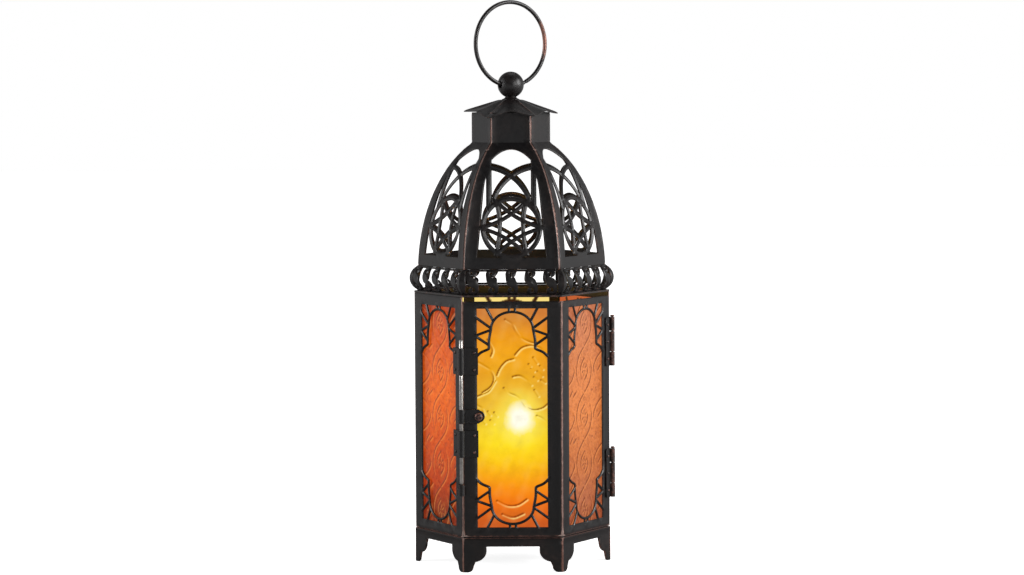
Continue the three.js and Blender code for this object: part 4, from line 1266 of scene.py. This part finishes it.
# The slide bolt at the left corner of the door.
bolt = {"radius": 1.1, "strap": 0.7, "reach": 9.0, "keeperReach": 6.0, "angle": 240, "wrap": 134,
        "keeperWrap": 90, "gap": 0.25, "handleGap": 0.3, "tab": 0.9, "tabEnd": 3.5, "tabReach": 9.2,
        "knob": 2.3, "knobReach": 3.2, "rivet": 1.0, "rivetHigh": 0.5, "rivetIn": 2.3, "rivetUp": 2.8,
        "keeperRivet": 4.2}
boltAxis = wall["corner"] + proud + bolt["radius"]
boltTurn = math.radians(bolt["angle"])
boltX, boltY = boltAxis * math.cos(boltTurn), boltAxis * math.sin(boltTurn)
boltCorner = np.array([-wall["corner"] / 2, -wallFace])


def cornerAxes(side):
    # along the wall and out of it, on the right or the left of the bolt's corner
    along, out = ((1, 0), (0, -1)) if side > 0 else ((-0.5, flat), (-flat, -0.5))
    return np.array(along), np.array(out)


def legOutline(side, length, thick):
    along, out = cornerAxes(side)
    start = bolt["radius"] / 2 + bolt["gap"]
    spots = (start, proud), (length, proud), (length, proud + thick), (start, proud + thick)
    corners = [boltCorner + along * s + out * o for s, o in spots]
    return [tuple(c) for c in (corners if side < 0 else corners[::-1])]


def wrapOutline(start, end, gap, thick):
    inner = bolt["radius"] + gap
    outer = arcPoints(boltX, boltY, inner + thick, inner + thick, start, end, 22)
    return outer + arcPoints(boltX, boltY, inner, inner, end, start, 22)


def rivetsOn(side, spots):
    along, out = (np.array([*v, 0]) for v in cornerAxes(side))
    base = np.array([*boltCorner, 0])
    head = rivetHead(bolt["rivet"], bolt["rivetHigh"])
    places = [base + along * s + out * (proud + bolt["strap"]) + np.array([0, 0, z]) for s, z in spots]
    return [moved(head, place, along * side, (0, 0, 1), out) for place in places]


def makeStrap(low, high, wrapEnd, sides, reach, spots):
    plan = [(True, wrapOutline(bolt["angle"] - bolt["wrap"], bolt["angle"] + wrapEnd, bolt["gap"],
                               bolt["strap"]))]
    plan += [(True, legOutline(side, reach, bolt["strap"])) for side in sides]
    sheet = sheetMetal(plan, high - low, plateUp(high), chamfer=0.14, step=1.5, grid=3)
    return joined(sheet, *[rivet for side in sides for rivet in rivetsOn(side, spots)])


for where in ("lower", "upper"):
    low, high = levels("bolt_strap_" + where)
    spots = [(bolt["reach"] - bolt["rivetIn"], z) for z in (low + bolt["rivetUp"], high - bolt["rivetUp"])]
    strap = makeStrap(low, high, bolt["wrap"], (1, -1), bolt["reach"], spots)
    addPiece("boltStrap." + where, strap, ["bolt_strap_" + where])

low, high = levels("bolt_keeper")
keeper = makeStrap(low, high, bolt["keeperWrap"], (-1,), bolt["keeperReach"],
                   [(bolt["keeperRivet"], (low + high) / 2)])
addPiece("boltKeeper", keeper, ["bolt_keeper"])

low, high = levels("bolt_rod")
rodProfile = [(0, low, 0.3), (0.5, low, 0.8), (0.9, low + 0.3, 0.9), (bolt["radius"], low + 0.7, 0.6),
              (bolt["radius"], high - 0.7, 0.5), (0.9, high - 0.3, 0.9), (0.5, high, 0.8), (0, high, 0.5)]
addPiece("boltRod", lathe(rodProfile, 32, boltX, boltY), ["bolt_rod"])


def makeHandle():
    b = bolt
    low, high = levels("bolt_handle")
    height = (low + high) / 2
    start, end = boltCorner[0] + b["radius"] / 2 + b["gap"], boltCorner[0] + b["tabReach"]
    front = wallFace + proud + b["tab"]
    tab = [(start, low), (end, low), *arcPoints(end, height, b["tabEnd"], b["tabEnd"], -75, 75, 14),
           (end, high), (start, high)]
    plate = sheetMetal([(True, tab)], b["tab"], lambda x, z, d: np.column_stack([x, d - front, z]),
                       chamfer=0.15, step=2, grid=2)
    turn = wrapOutline(b["angle"] - b["wrap"], b["angle"] + b["wrap"], b["handleGap"], b["tab"])
    wrapRound = sheetMetal([(True, turn)], high - low, plateUp(high), chamfer=0.15, step=1.5)
    k, r = b["knob"], b["knobReach"]
    knob = lathe([(0, -0.3, 0.2), (k * 0.62, -0.3, 0.2), (k * 0.6, r * 0.25, 0.3), (k * 0.72, r * 0.36, 0.5),
                  (k * 0.94, r * 0.48, 0.8), (k, r * 0.62, 1), (k * 0.95, r * 0.78, 0.9),
                  (k * 0.72, r * 0.92, 0.8), (k * 0.35, r * 0.99, 0.8), (0, r, 0.9)], 36)
    knob = moved(knob, (end, -front, height), (1, 0, 0), (0, 0, 1), (0, -1, 0))
    return joined(plate, wrapRound, knob)


addPiece("boltHandle", makeHandle(), ["bolt_handle"])
print("bolt made")


# Floor, cup, candle and flame.
pan = {"clear": 0.3, "sheet": 0.8, "hole": 1.8, "top": 0.1}
low, high = levels("floor_pan")
panFace = wallFace - wall["sheet"] - pan["clear"]
rimLine = (True, hexagon(panFace / flat))
floorLayers = [rimLine, (False, ringPoints(0, 0, pan["hole"], 20))]
floorPlate = sheetMetal(floorLayers, pan["sheet"], plateUp(low + pan["sheet"]), step=5, grid=6)
rimLayers = [rimLine, (False, hexagon((panFace - pan["sheet"]) / flat))]
panRim = sheetMetal(rimLayers, high - low - pan["top"], plateUp(high), step=5)
addPiece("floorPan", joined(floorPlate, panRim), ["floor_pan"])

low, high = levels("candle_cup")
cupProfile = [(1.8, low, 0), (19.9, low, 0.2), (20.3, low + 0.2, 0.7), (20.5, low + 0.6, 0.5),
              (20.5, high - 0.9, 0.3), (20.52, high - 0.3, 0.9), (20.2, high, 1), (19.85, high - 0.3, 0.9),
              (19.72, high - 0.9, 0.2), (19.7, low + 1.3, 0.1), (19.2, low + 0.8, 0.1), (1.8, low + 0.8, 0)]
addPiece("candleCup", lathe(cupProfile, 96), ["candle_cup"])
low, high = levels("cup_rivet")
rivetProfile = [(0, low, 0.9), (1.6, low + 0.08, 0.9), (2.7, low + 0.5, 0.8), (3, low + 1, 0.8),
                (1.5, low + 1, 0), (1.5, high - 1, 0), (3, high - 1, 0.8), (2.6, high - 0.45, 0.8),
                (1.5, high - 0.08, 0.9), (0, high, 0.9)]
addPiece("cupRivet", lathe(rivetProfile, 36), ["cup_rivet"])

candle = {"radius": 19.0, "pool": 1.6, "well": 1.2, "wickSink": 6.0, "flameHigh": 20.0, "flameWide": 3.4}


def makeCandle():
    c = candle
    low, high = levels("candle")
    poolAt = high - c["pool"]
    r, well, wellAt = c["radius"], c["well"], poolAt - c["wickSink"]
    profile = [(0, low), (r - 0.6, low), (r, low + 0.6)] + [(r, z)
            for z in np.linspace(low + 4, high - 1.3, 10)]
    profile += [(r - 0.25, high - 0.6), (r - 0.9, high - 0.12), (r - 1.7, high - 0.1), (r - 2.6, high - 0.55)]
    profile += [(r - 4.2, poolAt + 0.25)] + [(x, poolAt + 0.02 * x * 0.4) for x in (11, 7, 4)]
    profile += [(well + 0.8, poolAt + 0.12), (well, poolAt - 0.1), (well, wellAt), (0, wellAt)]
    points, faces, wear = lathe([(x, z, 0) for x, z in profile], 72)
    a = np.arctan2(points[:, 1], points[:, 0])
    upper = np.clip((points[:, 2] - (high - 8)) / 8, 0, 1)
    # the melted rim isn't quite even
    slump = (0.12 * np.sin(3 * a + 0.6) + 0.08 * np.sin(5 * a + 2)) * upper
    points[:, 2] -= np.abs(slump) * (np.hypot(points[:, 0], points[:, 1]) > 12)
    return points, faces, wear


def makeWick():
    low, high = levels("wick")
    zs = np.linspace(low, high, 26)
    bend = np.clip((zs - low - 7) / (high - low - 7), 0, 1) ** 2
    path = np.column_stack([0.35 * bend, -0.1 * bend, zs])
    return tube(path, 0.78 + 0.08 * np.sin(zs * 5) - 0.1 * bend, 14, wear=0)


def makeFlame():
    c = candle
    base = levels("wick")[1] - 3.2
    profile = []
    for t in np.linspace(0, 1, 24):
        r = c["flameWide"] * math.sin(math.pi * t ** 0.62) ** 0.85 * (1 - 0.25 * t)
        profile.append((0 if t in (0, 1) else max(r, 0.02), base + c["flameHigh"] * t, 0))
    points, faces, wear = lathe(profile, 40)
    lean = np.clip((points[:, 2] - base) / c["flameHigh"], 0, 1) ** 2
    points[:, 0] += 0.9 * lean
    return points, faces, wear


addPiece("candle", makeCandle(), ["candle"], sharp=60)
addPiece("wick", makeWick(), ["wick"], sharp=80)
addPiece("flame", makeFlame(), [], look="flame", body="candle", sharp=80)
print("candle made")


# Stage, lamps and camera.
stage = {"lift": 0.86, "floorNear": 0.03, "floorFar": 0.62, "ambient": 0.5, "front": 0.012, "left": 0.44,
         "right": 0.54, "above": 0.32}


def rayOf(tree, kind):
    return wired(tree, "ShaderNodeLightPath", f"Is {kind} Ray")


floorMesh = bpy.data.meshes.new("floor")
floorMesh.from_pydata([(-6, -4, 0), (6, -4, 0), (6, 8, 0), (-6, 8, 0)], [], [(0, 1, 2, 3)])
paleFloor, shader, where = newMaterial("paleFloor")
tree = where.tree
speckled = blended(noiseOf(where, 240, 4), grey(0.86), grey(0.9))
away = wired(tree, "ShaderNodeVectorMath", "Value", {"operation": "LENGTH"}, i0=where)
glossy = rayOf(tree, "Glossy") * ranged(away, 0.2, 1.5, stage["floorNear"], stage["floorFar"])
seen = rayOf(tree, "Camera").math("MAXIMUM", glossy.math("MAXIMUM", rayOf(tree, "Transmission")))
setInputs(shader, Base_Color=blended(rayOf(tree, "Glossy"), speckled, grey(0.16)), Roughness=0.9,
          Emission_Color=blended(seen, grey(0), grey(1)), Emission_Strength=stage["lift"])
floorMesh.materials.append(paleFloor)
floor = putIn("floor", floorMesh)

world = bpy.data.worlds.new("studio")
bpy.context.scene.world = world
world.use_nodes = True
tree = world.node_tree
across, deep, up = axesOf(wired(tree, "ShaderNodeTexCoord", "Generated"))
bright = ranged(across, -0.9, 0.9, stage["left"], stage["right"]) * ranged(up, 0.15, 0.6, 1.0, stage["above"])
mirror = blended(ranged(deep, -0.35, 0.55), grey(stage["front"]), bright)
through = rayOf(tree, "Camera").math("MAXIMUM", rayOf(tree, "Transmission"))
ambient = blended(rayOf(tree, "Glossy"), grey(stage["ambient"]), mirror)
setInputs(tree.nodes["Background"], Color=blended(through, ambient, grey(1)))

lamps = {   # power, size, place and aim
    "rightSoft": (44, 1.2, (2.1, -0.5, 0.9), (0, 0, 0.15)),
    "leftSoft": (24, 1.2, (-2.1, -0.4, 0.8), (0, 0, 0.15)),
    "topSoft": (2.6, 1.0, (0.2, 0.6, 2.0), (0, 0, 0.2)),
    "sparkle": (11, 0.2, (1.25, -1.55, 0.62), (0, 0, 0.2)),
    "frontSoft": (0.9, 0.6, (0.25, -2.2, 1.5), (0, 0, 0.2)),
}
for name, (power, size, at, aim) in lamps.items():
    lamp = bpy.data.lights.new(name, "AREA")
    lamp.energy, lamp.size = power, size
    placed = putIn(name, lamp)
    placed.location = at
    placed.rotation_euler = (Vector(aim) - Vector(at)).to_track_quat("-Z", "Y").to_euler()
flameLamp = bpy.data.lights.new("flameLight", "POINT")
flameLamp.energy, flameLamp.color, flameLamp.shadow_soft_size = 0.035, (1.0, 0.45, 0.16), 0.004
putIn("flameLight", flameLamp).location = (0.0005, 0, 0.094)

view = {"away": 2.0, "height": 0.286, "aside": 0.00015, "down": 3.598, "roll": -0.3, "lens": 120.7}
cameraData = bpy.data.cameras.new("frontView")
cameraData.lens, cameraData.sensor_width, cameraData.clip_end = view["lens"], 36, 50
camera = putIn("frontView", cameraData)
stand = Matrix.Translation((view["aside"], -view["away"], view["height"]))
tilt = Matrix.Rotation(math.radians(90 - view["down"]), 4, "X")
roll = Matrix.Rotation(math.radians(view["roll"]), 4, "Z")
camera.matrix_world = stand @ tilt @ roll
bpy.context.scene.camera = camera
bpy.context.scene.view_settings.view_transform = "Standard"

print("stage and camera placed")
